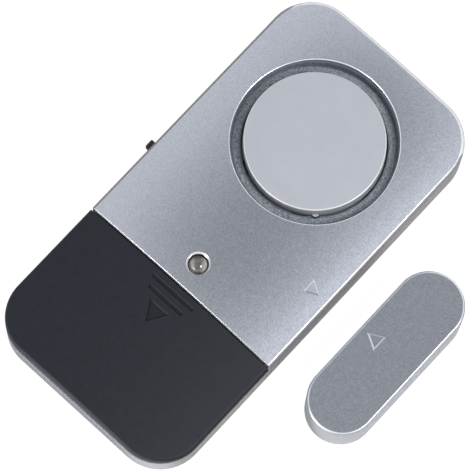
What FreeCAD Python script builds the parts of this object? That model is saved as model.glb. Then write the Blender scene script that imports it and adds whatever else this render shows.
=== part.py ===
import FreeCAD, Part
import math
import os
import re

import Sketcher
from FreeCAD import Placement, Rotation, Vector

# Door alarm: a flat alarm unit and the magnet unit that goes on the other side of the gap.
# Millimetres. X runs across the alarm towards the magnet, Y along it towards the sounder,
# Z out of the front. The origin is the middle of the alarm's back, and Z = 0 is the back.

SIZES = [
    # The alarm unit as a whole
    ("body_length", 90.0),
    ("body_width", 45.5),
    ("body_thickness", 10.0),
    ("face_crown", 1.9),
    ("corner_radius", 9.1),
    ("edge_round", 0.4),
    ("face_round", 0.8),
    ("front_bevel", 0.35),
    ("seam_chamfer", 0.15),
    ("wall", 1.4),
    ("floor_thickness", 1.2),
    ("face_thickness", 2.2),
    ("split_height", 3.0),
    ("cover_height", 3.5),
    ("front_start", 29.28),
    ("cover_gap", 0.25),
    ("slide_gap", 0.1),
    # The round recess and the sounder in it; ring_y is measured in from the sounder end
    ("ring_x", -0.32),
    ("ring_y", 22.7),
    ("moat_width", 2.67),
    ("ring_wall", 1.2),
    ("ring_depth", 3.1),
    ("ring_taper", 0.55),
    ("ring_floor", 1.0),
    ("rim_round", 0.25),
    ("cap_radius", 13.6),
    ("cap_rise", 0.05),
    ("cap_top", 1.0),
    ("cap_draft", 0.15),
    ("cap_wall", 1.2),
    ("cap_gap", 0.3),
    ("cap_flange", 1.2),
    ("flange_thickness", 0.9),
    ("key_angle", -47.0),
    ("key_radius", 0.75),
    ("key_height", 0.3),
    ("sound_slot_width", 3.0),
    ("sound_slot_count", 6),
    ("plate_inset", 0.1),
    ("plate_thickness", 0.25),
    ("ceramic_inset", 3.5),
    ("ceramic_thickness", 0.2),
    # The lamp; this Y and those further down are measured from the front edge, where the
    # shell meets the cover: up from it on the shell and the board, down from it on the cover
    ("lamp_x", -0.37),
    ("lamp_y", 5.42),
    ("lens_radius", 1.9),
    ("lens_rise", 0.1),
    ("lens_dome", 1.35),
    ("lens_flange", 0.8),
    ("lens_flange_thickness", 0.5),
    ("lens_gap", 0.1),
    ("lens_chamfer", 0.35),
    ("collar_depth", 0.9),
    ("collar_wall", 1.0),
    ("lamp_radius", 1.45),
    ("lamp_flange", 0.4),
    ("lamp_flange_thickness", 0.8),
    ("lamp_gap", 0.15),
    ("leg_radius", 0.25),
    ("leg_pitch", 2.54),
    ("leg_stub", 0.7),
    # The raised triangles that point at each other; mark_x is measured in from the long side
    ("mark_x", 2.39),
    ("mark_y", 16.59),
    ("mark_length", 2.9),
    ("mark_width", 3.3),
    ("mark_rise", 0.35),
    ("mark_bevel", 0.28),
    # Screws and their posts, from the long sides; post_high_y is from the sounder end
    ("post_x", 6.15),
    ("post_low_y", 6.12),
    ("post_high_y", 6.0),
    ("post_radius", 2.4),
    ("seat_radius", 2.8),
    ("screw_radius", 1.0),
    ("screw_tip_gap", 0.7),
    ("screw_head_radius", 1.9),
    ("screw_head_height", 1.1),
    ("screw_gap", 0.1),
    ("head_depth", 1.5),
    ("screw_cross_width", 0.5),
    ("screw_cross_depth", 0.6),
    # The board and what stands on it; board_high_y is from the sounder end, and reed_x, coil_x
    # and resistor_row_x are from the long side
    ("board_gap", 0.55),
    ("board_low_y", 2.32),
    ("board_high_y", 9.4),
    ("board_thickness", 0.8),
    ("board_height", 2.2),
    ("board_corner", 2.0),
    ("standoff_radius", 1.5),
    ("standoff_edge", 2.0),
    ("board_leg_x", 6.0),
    ("board_leg_y", 24.4),
    ("reed_x", 4.55),
    ("reed_y", 16.57),
    ("reed_radius", 1.0),
    ("reed_length", 11.0),
    ("reed_glass_wall", 0.3),
    ("reed_rise", 1.5),
    ("reed_wire_radius", 0.22),
    ("reed_blade_width", 0.9),
    ("reed_blade_thickness", 0.14),
    ("reed_blade_overlap", 1.4),
    ("reed_lead_reach", 1.0),
    ("chip_x", -6.5),
    ("chip_y", 12.22),
    ("chip_length", 4.9),
    ("chip_width", 3.9),
    ("chip_height", 1.25),
    ("chip_lift", 0.1),
    ("chip_leg_width", 0.42),
    ("chip_leg_thickness", 0.2),
    ("chip_leg_reach", 1.05),
    ("chip_leg_pitch", 1.27),
    ("coil_x", 13.05),
    ("coil_y", 11.22),
    ("coil_radius", 3.1),
    ("coil_core_radius", 1.3),
    ("coil_height", 2.5),
    ("coil_flange", 0.45),
    ("winding_clearance", 0.35),
    ("transistor_x", 2.4),
    ("transistor_y", 9.82),
    ("transistor_length", 2.9),
    ("transistor_width", 1.3),
    ("transistor_height", 1.0),
    ("transistor_leg_width", 0.4),
    ("transistor_leg_reach", 0.55),
    ("transistor_leg_pitch", 1.9),
    ("small_part_length", 2.0),
    ("small_part_width", 1.25),
    ("small_part_height", 0.55),
    ("small_part_end", 0.35),
    ("resistor_row_x", 10.25),
    ("resistor_row_y", 8.32),
    ("resistor_row_pitch", 2.4),
    ("resistor_count", 4),
    ("capacitor_row_x", 3.6),
    ("capacitor_row_y", 13.12),
    ("capacitor_row_pitch", 2.6),
    ("capacitor_count", 2),
    # The slide switch at the long side
    ("knob_y", 17.22),
    ("knob_height", 1.6),
    ("knob_length", 1.8),
    ("knob_thickness", 1.6),
    ("knob_reach", 1.35),
    ("knob_travel", 2.0),
    ("knob_gap", 0.2),
    ("knob_foot_length", 2.4),
    ("knob_foot_depth", 1.7),
    ("knob_round", 0.3),
    ("switch_length", 8.7),
    ("switch_depth", 4.0),
    ("switch_height", 3.35),
    ("switch_setback", 0.5),
    ("frame_thickness", 0.25),
    ("switch_pin_width", 0.6),
    ("switch_pin_thickness", 0.3),
    ("switch_pin_pitch", 2.5),
    # The battery bay and its cover; rail_inner and notch_x are from the long side
    ("cover_wall", 1.0),
    ("rail_inner", 2.4),
    ("rail_web", 0.7),
    ("rail_lip", 0.55),
    ("rail_lip_thickness", 0.45),
    ("rail_gap", 0.15),
    ("rail_clearance", 0.3),
    ("tongue_reach", 0.45),
    ("tongue_thickness", 0.45),
    ("nose_width", 28.0),
    ("nose_reach", 1.4),
    ("nose_thickness", 0.55),
    ("nose_root", 2.6),
    ("bulkhead_thickness", 1.2),
    ("bulkhead_gap", 0.2),
    ("notch_width", 1.8),
    ("notch_x", 10.45),
    ("notch_height", 3.5),
    ("cell_spacing", 1.0),
    ("cell_side_space", 1.85),
    ("cell_top_space", 0.2),
    ("cell_y", 14.28),
    ("cell_gap", 0.2),
    ("cell_cap_radius", 4.6),
    ("cell_cap_height", 0.25),
    ("cell_edge", 0.35),
    ("carrier_height", 5.3),
    ("carrier_margin", 1.6),
    ("contact_thickness", 0.25),
    ("contact_width", 3.0),
    ("contact_gap", 0.2),
    ("contact_tab_height", 3.6),
    ("leaf_height", 3.8),
    ("leaf_lift", 0.6),
    ("leaf_bump", 0.5),
    ("leaf_length", 12.2),
    ("link_width", 4.6),
    ("link_dome_radius", 1.6),
    ("link_dome_height", 0.5),
    # The arrow and the two bars sunk in the cover
    ("sign_depth", 0.4),
    ("sign_slope", 30.0),
    ("bar_thickness", 0.9),
    ("bar_one_length", 10.3),
    ("bar_one_y", 1.6),
    ("bar_two_length", 8.4),
    ("bar_two_y", 3.6),
    ("arrow_width", 4.8),
    ("arrow_length", 4.0),
    ("arrow_y", 5.25),
    ("sign_x", -0.15),
    # The foam tapes
    ("tape_thickness", 0.5),
    ("tape_width", 26.0),
    ("tape_length", 60.0),
    ("tape_corner", 2.0),
    ("tape_gap", 0.1),
    # The magnet unit; magnet_x is measured out from the alarm's long side
    ("magnet_x", 14.15),
    ("magnet_y", 16.77),
    ("magnet_length", 37.8),
    ("magnet_width", 13.5),
    ("magnet_thickness", 10.0),
    ("magnet_wall", 1.3),
    ("magnet_round", 0.5),
    ("base_thickness", 1.3),
    ("base_gap", 0.08),
    ("bar_length", 25.0),
    ("bar_width", 8.0),
    ("bar_height", 5.0),
    ("bar_gap", 0.15),
    ("rib_thickness", 1.0),
    ("magnet_mark_inset", 1.6),
    ("magnet_mark_shift", 0.35),
    ("magnet_mark_length", 3.2),
    ("magnet_mark_width", 3.5),
    ("magnet_tape_width", 8.0),
    ("magnet_tape_length", 30.0),
    # Wires
    ("wire_diameter", 0.9),
    ("lead_diameter", 0.4),
    ("lead_spread", 11.6),
    ("lead_inset", 4.5),
    ("lead_reach", 2.0),
]
ALIASES = {name for name, _ in SIZES}

doc = FreeCAD.newDocument("door_alarm")
sheet = doc.addObject("Spreadsheet::Sheet", "Sizes")
for row, (name, number) in enumerate(SIZES, start=1):
    sheet.set(f"A{row}", name)
    sheet.set(f"B{row}", f"{number:g}")
    sheet.setAlias(f"B{row}", name)
doc.recompute()

# Places that several pieces share, written in the sheet's words
BACK_END = "(-body_length / 2)"
FRONT_EDGE = f"({BACK_END} + front_start)"
COVER_EDGE = f"({FRONT_EDGE} - cover_gap)"
LONG_SIDE = "(body_width / 2)"
SOUNDER_END = "(body_length / 2)"
FACE_UNDER = "(body_thickness - face_thickness)"
CROWN_RADIUS = "((body_width * body_width / 4 + face_crown * face_crown) / (2 * face_crown))"
RIM_HEIGHT = "(body_thickness - cover_height)"
BOARD_TOP = "(board_height + board_thickness)"
BOARD_WIDTH = "(body_width - 2 * wall - 2 * board_gap)"
BOARD_LOW = f"({FRONT_EDGE} + board_low_y)"
BOARD_HIGH = f"({SOUNDER_END} - board_high_y)"
POST_X = f"({LONG_SIDE} - post_x)"
POST_Y = {"low": f"({FRONT_EDGE} + post_low_y)", "high": f"({SOUNDER_END} - post_high_y)"}
LAMP_Y = f"({FRONT_EDGE} + lamp_y)"
REED_X = f"({LONG_SIDE} - reed_x)"
REED_Y = f"({FRONT_EDGE} + reed_y)"
RING_Y = f"({SOUNDER_END} - ring_y)"
RING_RADIUS = "(cap_radius + moat_width)"
RING_FLOOR = "(body_thickness - ring_depth)"
RING_UNDER = f"({RING_FLOOR} - ring_floor)"
CAP_FOOT = "(cap_radius + cap_draft)"
KEY_OUT = f"({CAP_FOOT} - key_radius / 2)"
FLANGE_BOTTOM = f"({RING_UNDER} - flange_thickness)"
KNOB_SIDE = f"(-{LONG_SIDE})"
SWITCH_OUT = f"({KNOB_SIDE} + wall + switch_setback)"
KNOB_Y = f"({FRONT_EDGE} + knob_y)"
KNOB_Z = f"({BOARD_TOP} + knob_height)"
SWITCH_Y = f"({KNOB_Y} - knob_travel / 2)"
COVER_BOTTOM = f"({RIM_HEIGHT} + slide_gap)"
RAIL_X = f"({LONG_SIDE} - rail_inner)"
NOTCH_X = f"({LONG_SIDE} - notch_x)"
CELL_RADIUS = f"(({RAIL_X} - cell_side_space - cell_spacing) / 3)"
CELL_PITCH = f"(2 * {CELL_RADIUS} + cell_spacing)"
CELL_Y = f"({FRONT_EDGE} - cell_y)"
CELL_BOTTOM = "(floor_thickness + contact_thickness)"
LINK_BOTTOM = f"({FACE_UNDER} - contact_thickness - link_dome_height)"
CELL_TOP = f"({LINK_BOTTOM} - cell_top_space)"
CELL_THICKNESS = f"({CELL_TOP} - {CELL_BOTTOM})"
NOSE_BOTTOM = f"({FACE_UNDER} - rail_gap - nose_thickness)"
BULKHEAD_TOP = f"({NOSE_BOTTOM} - bulkhead_gap)"
CARRIER_HALF = f"({CELL_RADIUS} + carrier_margin)"
LEAF_X = f"({CELL_PITCH} + {CELL_RADIUS} + slide_gap + leaf_bump)"
TAB_Y = f"({CELL_Y} + {CARRIER_HALF} + contact_gap)"
MAGNET_X = f"({LONG_SIDE} + magnet_x)"
MAGNET_Y = f"({FRONT_EDGE} + magnet_y)"
SCREW_TIP = f"({FACE_UNDER} - screw_tip_gap)"
CHIP_Y = f"({FRONT_EDGE} + chip_y)"
COIL_X = f"({LONG_SIDE} - coil_x)"
COIL_Y = f"({FRONT_EDGE} + coil_y)"
TRANSISTOR_Y = f"({FRONT_EDGE} + transistor_y)"


def size(name):
    return float(sheet.get(name))


def bind(item, path, text):
    """Tie a property to the sheet: each of its words in the text becomes Sizes.word."""
    def linked(match):
        word = match.group()
        return f"Sizes.{word}" if word in ALIASES else word
    item.setExpression(path, re.sub(r"[a-z_]+", linked, str(text)))


def place(item, x, y, z):
    for axis, text in zip("xyz", (x, y, z)):
        bind(item, f"Placement.Base.{axis}", text)


# Sketched bodies

def new_body(name):
    body = doc.addObject("PartDesign::Body", name)
    body.Label = name
    return body


def new_sketch(body, name, x="0", y="0", z="0", plane="XY_Plane", turn=0):
    """A sketch on one of the body's origin planes, moved along its own axes and then turned."""
    sketch = body.newObject("Sketcher::SketchObject", f"{body.Name}_{name}")
    support = next(item for item in body.Origin.OriginFeatures if item.Role == plane)
    sketch.AttachmentSupport = (support, [""])
    sketch.MapMode = "FlatFace"
    sketch.AttachmentOffset = Placement(Vector(), Rotation(Vector(0, 0, 1), turn))
    for axis, text in zip("xyz", (x, y, z)):
        bind(sketch, f"AttachmentOffset.Base.{axis}", text)
    return sketch


def fix_size(sketch, kind, arguments, text):
    index = sketch.addConstraint(Sketcher.Constraint(kind, *arguments))
    bind(sketch, f"Constraints[{index}]", text)


def draw_circle(sketch, radius):
    sketch.addGeometry(Part.Circle(Vector(0, 0, 0), Vector(0, 0, 1), 3.0), False)
    sketch.addConstraint(Sketcher.Constraint("Coincident", 0, 3, -1, 1))
    fix_size(sketch, "Radius", (0, 3.0), radius)


def draw_rounded(sketch, width, height, radius):
    """A rectangle with round corners, centred on the sketch's origin."""
    half_x, half_y, r = 20.0, 30.0, 4.0
    corners = [(1, 1, 0), (-1, 1, 90), (-1, -1, 180), (1, -1, 270)]
    for sign_x, sign_y, start in corners:
        centre = Vector(sign_x * (half_x - r), sign_y * (half_y - r), 0)
        circle = Part.Circle(centre, Vector(0, 0, 1), r)
        arc = Part.ArcOfCircle(circle, math.radians(start), math.radians(start + 90))
        sketch.addGeometry(arc, False)
    for index in range(4):
        start = sketch.getPoint(index, 2)
        end = sketch.getPoint((index + 1) % 4, 1)
        sketch.addGeometry(Part.LineSegment(start, end), False)
    for index in range(4):
        line = 4 + index
        sketch.addConstraint(Sketcher.Constraint("Tangent", index, 2, line, 1))
        sketch.addConstraint(Sketcher.Constraint("Tangent", line, 2, (index + 1) % 4, 1))
        direction = "Horizontal" if index % 2 == 0 else "Vertical"
        sketch.addConstraint(Sketcher.Constraint(direction, line))
    for index in range(1, 4):
        sketch.addConstraint(Sketcher.Constraint("Equal", 0, index))
    sketch.addConstraint(Sketcher.Constraint("Symmetric", 0, 3, 2, 3, -1, 1))
    fix_size(sketch, "Radius", (0, r), radius)
    fix_size(sketch, "DistanceX", (1, 3, 0, 3, 2 * (half_x - r)), f"({width}) - 2 * ({radius})")
    fix_size(sketch, "DistanceY", (3, 3, 0, 3, 2 * (half_y - r)), f"({height}) - 2 * ({radius})")


def draw_slot(sketch, width, height):
    """A long outline with round ends, centred on the sketch's origin, its long way along Y."""
    half, r = 10.0, 5.0
    for sign, start in ((1, 0), (-1, 180)):
        circle = Part.Circle(Vector(0, sign * half, 0), Vector(0, 0, 1), r)
        arc = Part.ArcOfCircle(circle, math.radians(start), math.radians(start + 180))
        sketch.addGeometry(arc, False)
    for index in range(2):
        start = sketch.getPoint(index, 2)
        end = sketch.getPoint(1 - index, 1)
        sketch.addGeometry(Part.LineSegment(start, end), False)
    for index in range(2):
        line = 2 + index
        sketch.addConstraint(Sketcher.Constraint("Tangent", index, 2, line, 1))
        sketch.addConstraint(Sketcher.Constraint("Tangent", line, 2, 1 - index, 1))
        sketch.addConstraint(Sketcher.Constraint("Vertical", line))
    sketch.addConstraint(Sketcher.Constraint("Symmetric", 0, 3, 1, 3, -1, 1))
    fix_size(sketch, "Radius", (0, r), f"({width}) / 2")
    fix_size(sketch, "DistanceY", (1, 3, 0, 3, 2 * half), f"({height}) - ({width})")


def draw_rectangle(sketch, width, height):
    """A sharp rectangle, centred on the sketch's origin."""
    corners = [Vector(-5, -3, 0), Vector(5, -3, 0), Vector(5, 3, 0), Vector(-5, 3, 0)]
    for index in range(4):
        sketch.addGeometry(Part.LineSegment(corners[index], corners[(index + 1) % 4]), False)
    for index in range(4):
        sketch.addConstraint(Sketcher.Constraint("Coincident", index, 2, (index + 1) % 4, 1))
        direction = "Horizontal" if index % 2 == 0 else "Vertical"
        sketch.addConstraint(Sketcher.Constraint(direction, index))
    sketch.addConstraint(Sketcher.Constraint("Symmetric", 0, 1, 2, 1, -1, 1))
    fix_size(sketch, "DistanceX", (0, 1, 0, 2, 10.0), width)
    fix_size(sketch, "DistanceY", (1, 1, 1, 2, 6.0), height)


def draw_outline(sketch, points):
    """A closed outline through points, each given from the sketch's origin in its +x, +y quarter."""
    count = len(points)
    spots = []
    for index in range(count):
        turn = 2 * math.pi * index / count
        spots.append(Vector(6 + 4 * math.cos(turn), 6 + 4 * math.sin(turn), 0))
    for index in range(count):
        sketch.addGeometry(Part.LineSegment(spots[index], spots[(index + 1) % count]), False)
    for index in range(count):
        sketch.addConstraint(Sketcher.Constraint("Coincident", index, 2, (index + 1) % count, 1))
    for index, point in enumerate(points):
        for kind, axis_line, text in zip(("DistanceX", "DistanceY"), (-2, -1), point):
            if text == "0":
                sketch.addConstraint(Sketcher.Constraint("PointOnObject", index, 1, axis_line))
            else:
                fix_size(sketch, kind, (-1, 1, index, 1, 5.0), text)


def draw_triangle(sketch, base, height):
    """A triangle whose base lies on the sketch's Y axis, centred, and which points along +X."""
    spots = [Vector(0, -2, 0), Vector(3, 0, 0), Vector(0, 2, 0)]
    for index in range(3):
        sketch.addGeometry(Part.LineSegment(spots[index], spots[(index + 1) % 3]), False)
    for index in range(3):
        sketch.addConstraint(Sketcher.Constraint("Coincident", index, 2, (index + 1) % 3, 1))
    sketch.addConstraint(Sketcher.Constraint("Symmetric", 0, 1, 2, 1, -1, 1))
    sketch.addConstraint(Sketcher.Constraint("Vertical", 2))
    sketch.addConstraint(Sketcher.Constraint("PointOnObject", 1, 1, -1))
    fix_size(sketch, "DistanceY", (0, 1, 2, 1, 4.0), base)
    fix_size(sketch, "DistanceX", (-1, 1, 1, 1, 3.0), height)


def feature(kind, sketch, word):
    body = sketch.getParentGeoFeatureGroup()
    item = body.newObject(f"PartDesign::{kind}", f"{sketch.Name}_{word}")
    item.Profile = sketch
    return item


def pad(sketch, length):
    item = feature("Pad", sketch, "pad")
    bind(item, "Length", length)
    return item


def pocket(sketch, depth, upward=False):
    """A cut against the sketch's normal, or along it when upward."""
    item = feature("Pocket", sketch, "cut")
    bind(item, "Length", depth)
    item.Reversed = upward
    return item


def turned(sketch, removes=False):
    """The sketch turned once round its own Y axis."""
    item = feature("Groove" if removes else "Revolution", sketch, "turned")
    item.ReferenceAxis = (sketch, ["V_Axis"])
    item.Angle = 360.0
    return item


def mirrored(body, item):
    """A copy of a feature on the other side of the body's YZ plane."""
    copy = body.newObject("PartDesign::Mirrored", f"{item.Name}_mirrored")
    plane = next(part for part in body.Origin.OriginFeatures if part.Role == "YZ_Plane")
    copy.Originals = [item]
    copy.MirrorPlane = (plane, [""])
    body.Tip = copy
    return copy


def edges_at(shape, axis, position):
    """Names of the edges that lie whole in the plane where the axis has this position."""
    names = []
    for number, edge in enumerate(shape.Edges, start=1):
        box = edge.BoundBox
        low = getattr(box, f"{axis}Min")
        high = getattr(box, f"{axis}Max")
        if abs(low - position) < 1e-3 and abs(high - position) < 1e-3:
            names.append(f"Edge{number}")
    return names


def soften(body, kind, axis, position, amount, keep=lambda edge: True):
    """Round (Fillet) or bevel (Chamfer) the edges of the body that lie in one plane."""
    doc.recompute()
    tip = body.Tip
    names = [
        name for name in edges_at(tip.Shape, axis, position)
        if keep(tip.Shape.getElement(name))
    ]
    item = body.newObject(f"PartDesign::{kind}", f"{body.Name}_{kind}_{len(body.Group)}")
    item.Base = (tip, names)
    bind(item, "Radius" if kind == "Fillet" else "Size", amount)
    return item


def trim_to_crown(body, name, rise="0"):
    """Cut off what stands above the face's crown, a long cylinder lying along Y, or above its rise."""
    ring = new_sketch(body, name, y="-body_length", z=f"body_thickness - {CROWN_RADIUS}")
    draw_outline(ring, [
        (f"{CROWN_RADIUS} + {rise}", "0"),
        (f"{CROWN_RADIUS} + {rise} + 2 * wall", "0"),
        (f"{CROWN_RADIUS} + {rise} + 2 * wall", "2 * body_length"),
        (f"{CROWN_RADIUS} + {rise}", "2 * body_length"),
    ])
    turned(ring, removes=True)


def soften_crown(body, kind, amount, rise="0", keep=lambda edge: True):
    """Round or bevel the edges of the crowned face, or of what stands this much above it."""
    doc.recompute()
    tip = body.Tip
    radius = value(f"{CROWN_RADIUS} + {rise}")
    rim = []
    for face in tip.Shape.Faces:
        if isinstance(face.Surface, Part.Cylinder) and abs(face.Surface.Radius - radius) < 1e-4:
            rim += face.Edges
    names = [
        f"Edge{number}" for number, edge in enumerate(tip.Shape.Edges, start=1)
        if keep(edge) and any(edge.isSame(other) for other in rim)
    ]
    item = body.newObject(f"PartDesign::{kind}", f"{body.Name}_{kind}_{len(body.Group)}")
    item.Base = (tip, names)
    bind(item, "Radius" if kind == "Fillet" else "Size", amount)
    return item


# Plain solids and booleans

def box(name, length, width, height, x, y, z):
    """A block centred on x and y that stands on z."""
    block = doc.addObject("Part::Box", name)
    block.Label = name
    bind(block, "Length", length)
    bind(block, "Width", width)
    bind(block, "Height", height)
    place(block, f"({x}) - ({length}) / 2", f"({y}) - ({width}) / 2", z)
    return block


def cylinder(name, radius, height, x, y, z):
    rod = doc.addObject("Part::Cylinder", name)
    rod.Label = name
    bind(rod, "Radius", radius)
    bind(rod, "Height", height)
    place(rod, x, y, z)
    return rod


def fused(name, pieces):
    joined = doc.addObject("Part::MultiFuse", name)
    joined.Label = name
    joined.Shapes = pieces
    return joined


def without(name, base, tools):
    tool = tools[0] if len(tools) == 1 else fused(f"{name}_tools", tools)
    result = doc.addObject("Part::Cut", name)
    result.Label = name
    result.Base = base
    result.Tool = tool
    return result


def shaped(name, shape):
    """A sub-part whose shape is worked out in this script from the sheet's sizes."""
    item = doc.addObject("Part::Feature", name)
    item.Label = name
    item.Shape = shape
    item.Placement = Placement()
    return item


def value(text):
    """The number that an expression on the sheet's words has now."""
    probe = doc.addObject("App::FeaturePython", "Probe")
    probe.addProperty("App::PropertyFloat", "Number")
    bind(probe, "Number", text)
    probe.recompute()
    number = probe.Number
    doc.removeObject(probe.Name)
    return number


def tube(name, route, diameter):
    """A wire along straight runs joined by tangent arcs as large as the two runs allow."""
    points = [Vector(*point) for point in route]
    edges = []
    start = points[0]
    length = 0.0
    for before, corner, after in zip(points, points[1:], points[2:]):
        back = before - corner
        ahead = after - corner
        half_turn = (math.pi - back.getAngle(ahead)) / 2
        trim = 0.45 * min(back.Length, ahead.Length)
        radius = trim / math.tan(half_turn)
        back.normalize()
        ahead.normalize()
        first = corner + back * trim
        last = corner + ahead * trim
        inward = (back + ahead).normalize()
        middle = corner + inward * (radius / math.cos(half_turn) - radius)
        edges.append(Part.LineSegment(start, first).toShape())
        edges.append(Part.Arc(first, middle, last).toShape())
        length += start.distanceToPoint(first) + 2 * radius * half_turn
        start = last
        print(f"{name}: bend radius {radius:.2f}")
    edges.append(Part.LineSegment(start, points[-1]).toShape())
    length += start.distanceToPoint(points[-1])
    along = points[1] - points[0]
    section = Part.Wire(Part.Circle(points[0], along, diameter / 2).toShape())
    solid = Part.Wire(edges).makePipeShell([section], True, True)
    expected = math.pi * diameter ** 2 / 4 * length
    if abs(solid.Volume - expected) > 0.02 * expected:
        raise ValueError(f"{name} has the wrong volume")
    return shaped(name, solid)


# The moulded case

def build_rear_case():
    """Back tray: a low wall under the front shell, a higher one round the battery bay."""
    body = new_body("rear_case")
    outline = new_sketch(body, "outline")
    draw_rounded(outline, "body_width", "body_length", "corner_radius")
    pad(outline, RIM_HEIGHT)
    soften(body, "Chamfer", "Z", value(RIM_HEIGHT), "seam_chamfer")
    soften(body, "Fillet", "Z", 0.0, "edge_round")

    step = new_sketch(body, "step", y=f"{FRONT_EDGE} + body_length / 2", z=RIM_HEIGHT)
    draw_rectangle(step, "body_width + wall", "body_length")
    pocket(step, f"{RIM_HEIGHT} - split_height")
    soften(body, "Chamfer", "Z", size("split_height"), "seam_chamfer",
           keep=lambda edge: edge.BoundBox.YMax > value(FRONT_EDGE) + 0.1)

    hollow = new_sketch(body, "hollow", z=RIM_HEIGHT)
    draw_rounded(hollow, "body_width - 2 * wall", "body_length - 2 * wall", "corner_radius - wall")
    pocket(hollow, f"{RIM_HEIGHT} - floor_thickness")

    carrier = new_sketch(body, "carrier", y=CELL_Y, z="floor_thickness / 2")
    draw_rectangle(carrier, f"2 * {RAIL_X} + wall / 2", f"2 * {CARRIER_HALF}")
    pad(carrier, "carrier_height - floor_thickness / 2")
    for side in (-1, 0, 1):
        seat = new_sketch(body, f"cell_seat_{side + 1}", x=f"{side} * {CELL_PITCH}", y=CELL_Y,
                          z="carrier_height")
        draw_circle(seat, f"{CELL_RADIUS} + cell_gap")
        pocket(seat, "carrier_height - floor_thickness")

    tab_slot = new_sketch(body, "tab_slot", x=f"-{CELL_PITCH}",
                          y=f"{CELL_Y} + {CARRIER_HALF} / 2", z="carrier_height")
    draw_rectangle(tab_slot, "contact_width + 2 * contact_gap", f"{CARRIER_HALF} + wall")
    pocket(tab_slot, "carrier_height - floor_thickness")
    link_slot = new_sketch(body, "link_slot", x=f"{CELL_PITCH} / 2", y=CELL_Y, z="carrier_height")
    draw_rectangle(link_slot, CELL_RADIUS, "link_width + 2 * contact_gap")
    pocket(link_slot, "carrier_height - floor_thickness")
    leaf_slot = new_sketch(body, "leaf_slot", x=f"{LEAF_X} - leaf_bump / 2",
                           y=f"{CELL_Y} + {CARRIER_HALF} / 2 - link_width / 2", z="carrier_height")
    draw_rectangle(leaf_slot, "leaf_bump + 2 * contact_thickness + 2 * contact_gap",
                   f"{CARRIER_HALF} + link_width + wall")
    pocket(leaf_slot, "carrier_height - floor_thickness")
    finger = new_sketch(body, "finger_groove", y=f"{CELL_Y} - {CELL_RADIUS}", z="carrier_height")
    draw_rectangle(finger, f"2 * {CELL_PITCH} + {CELL_RADIUS}", "2 * carrier_margin")
    pocket(finger, f"{CELL_THICKNESS} / 3")

    rail = new_sketch(body, "rail", z=f"-({FRONT_EDGE} - rail_clearance)", plane="XZ_Plane")
    draw_outline(rail, [
        (RAIL_X, "floor_thickness / 2"),
        ("body_width / 2 - wall / 2", "floor_thickness / 2"),
        ("body_width / 2 - wall / 2", RIM_HEIGHT),
        (f"{RAIL_X} + rail_web", RIM_HEIGHT),
        (f"{RAIL_X} + rail_web", f"{FACE_UNDER} - rail_gap - rail_lip_thickness"),
        (f"{RAIL_X} + rail_web + rail_lip", f"{FACE_UNDER} - rail_gap - rail_lip_thickness"),
        (f"{RAIL_X} + rail_web + rail_lip", f"{FACE_UNDER} - rail_gap"),
        (RAIL_X, f"{FACE_UNDER} - rail_gap"),
    ])
    right_rail = pad(rail, "front_start - rail_clearance - corner_radius")
    mirrored(body, right_rail)

    bulkhead = new_sketch(body, "bulkhead", y=f"{FRONT_EDGE} + bulkhead_thickness / 2",
                          z="floor_thickness / 2")
    draw_rectangle(bulkhead, "body_width - 1.5 * wall", "bulkhead_thickness")
    pad(bulkhead, "split_height - floor_thickness / 2")
    upper = new_sketch(body, "upper_bulkhead", y=f"{FRONT_EDGE} + bulkhead_thickness / 2",
                       z="split_height")
    draw_rectangle(upper, "body_width - 2 * wall - 2 * contact_gap", "bulkhead_thickness")
    pad(upper, f"{BULKHEAD_TOP} - split_height")
    for side in (-1, 1):
        notch = new_sketch(body, f"notch_{side + 1}", x=f"{side} * {NOTCH_X}",
                           y=f"{FRONT_EDGE} + bulkhead_thickness / 2", z=BULKHEAD_TOP)
        draw_rectangle(notch, "notch_width", "2 * bulkhead_thickness")
        pocket(notch, f"{BULKHEAD_TOP} - notch_height")

    for side in (-1, 1):
        for level in ("low", "high"):
            spot = {"x": f"{side} * {POST_X}", "y": POST_Y[level]}
            post = new_sketch(body, f"seat_{level}_{side + 1}", z="floor_thickness / 2", **spot)
            draw_circle(post, "seat_radius")
            pad(post, "split_height - floor_thickness / 2")
            sink = new_sketch(body, f"sink_{level}_{side + 1}", **spot)
            draw_circle(sink, "screw_head_radius + 2 * screw_gap")
            pocket(sink, "head_depth", upward=True)
            hole = new_sketch(body, f"hole_{level}_{side + 1}", **spot)
            draw_circle(hole, "screw_radius + screw_gap")
            pocket(hole, "split_height", upward=True)
        for name, x, y in (
            ("low", "board_leg_x", f"{BOARD_LOW} + standoff_edge"),
            ("middle", f"{BOARD_WIDTH} / 2 - standoff_edge", f"{BOARD_LOW} + board_leg_y"),
            ("high", f"{BOARD_WIDTH} / 2 - standoff_edge", f"{BOARD_HIGH} - 2 * standoff_edge"),
        ):
            standoff = new_sketch(body, f"standoff_{name}_{side + 1}", x=f"{side} * ({x})", y=y,
                                  z="floor_thickness / 2")
            draw_circle(standoff, "standoff_radius")
            pad(standoff, "board_height - floor_thickness / 2")

    recess = new_sketch(body, "tape_recess")
    draw_rounded(recess, "tape_width + 2 * tape_gap", "tape_length + 2 * tape_gap", "tape_corner")
    pocket(recess, "tape_thickness", upward=True)
    return body


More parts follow.
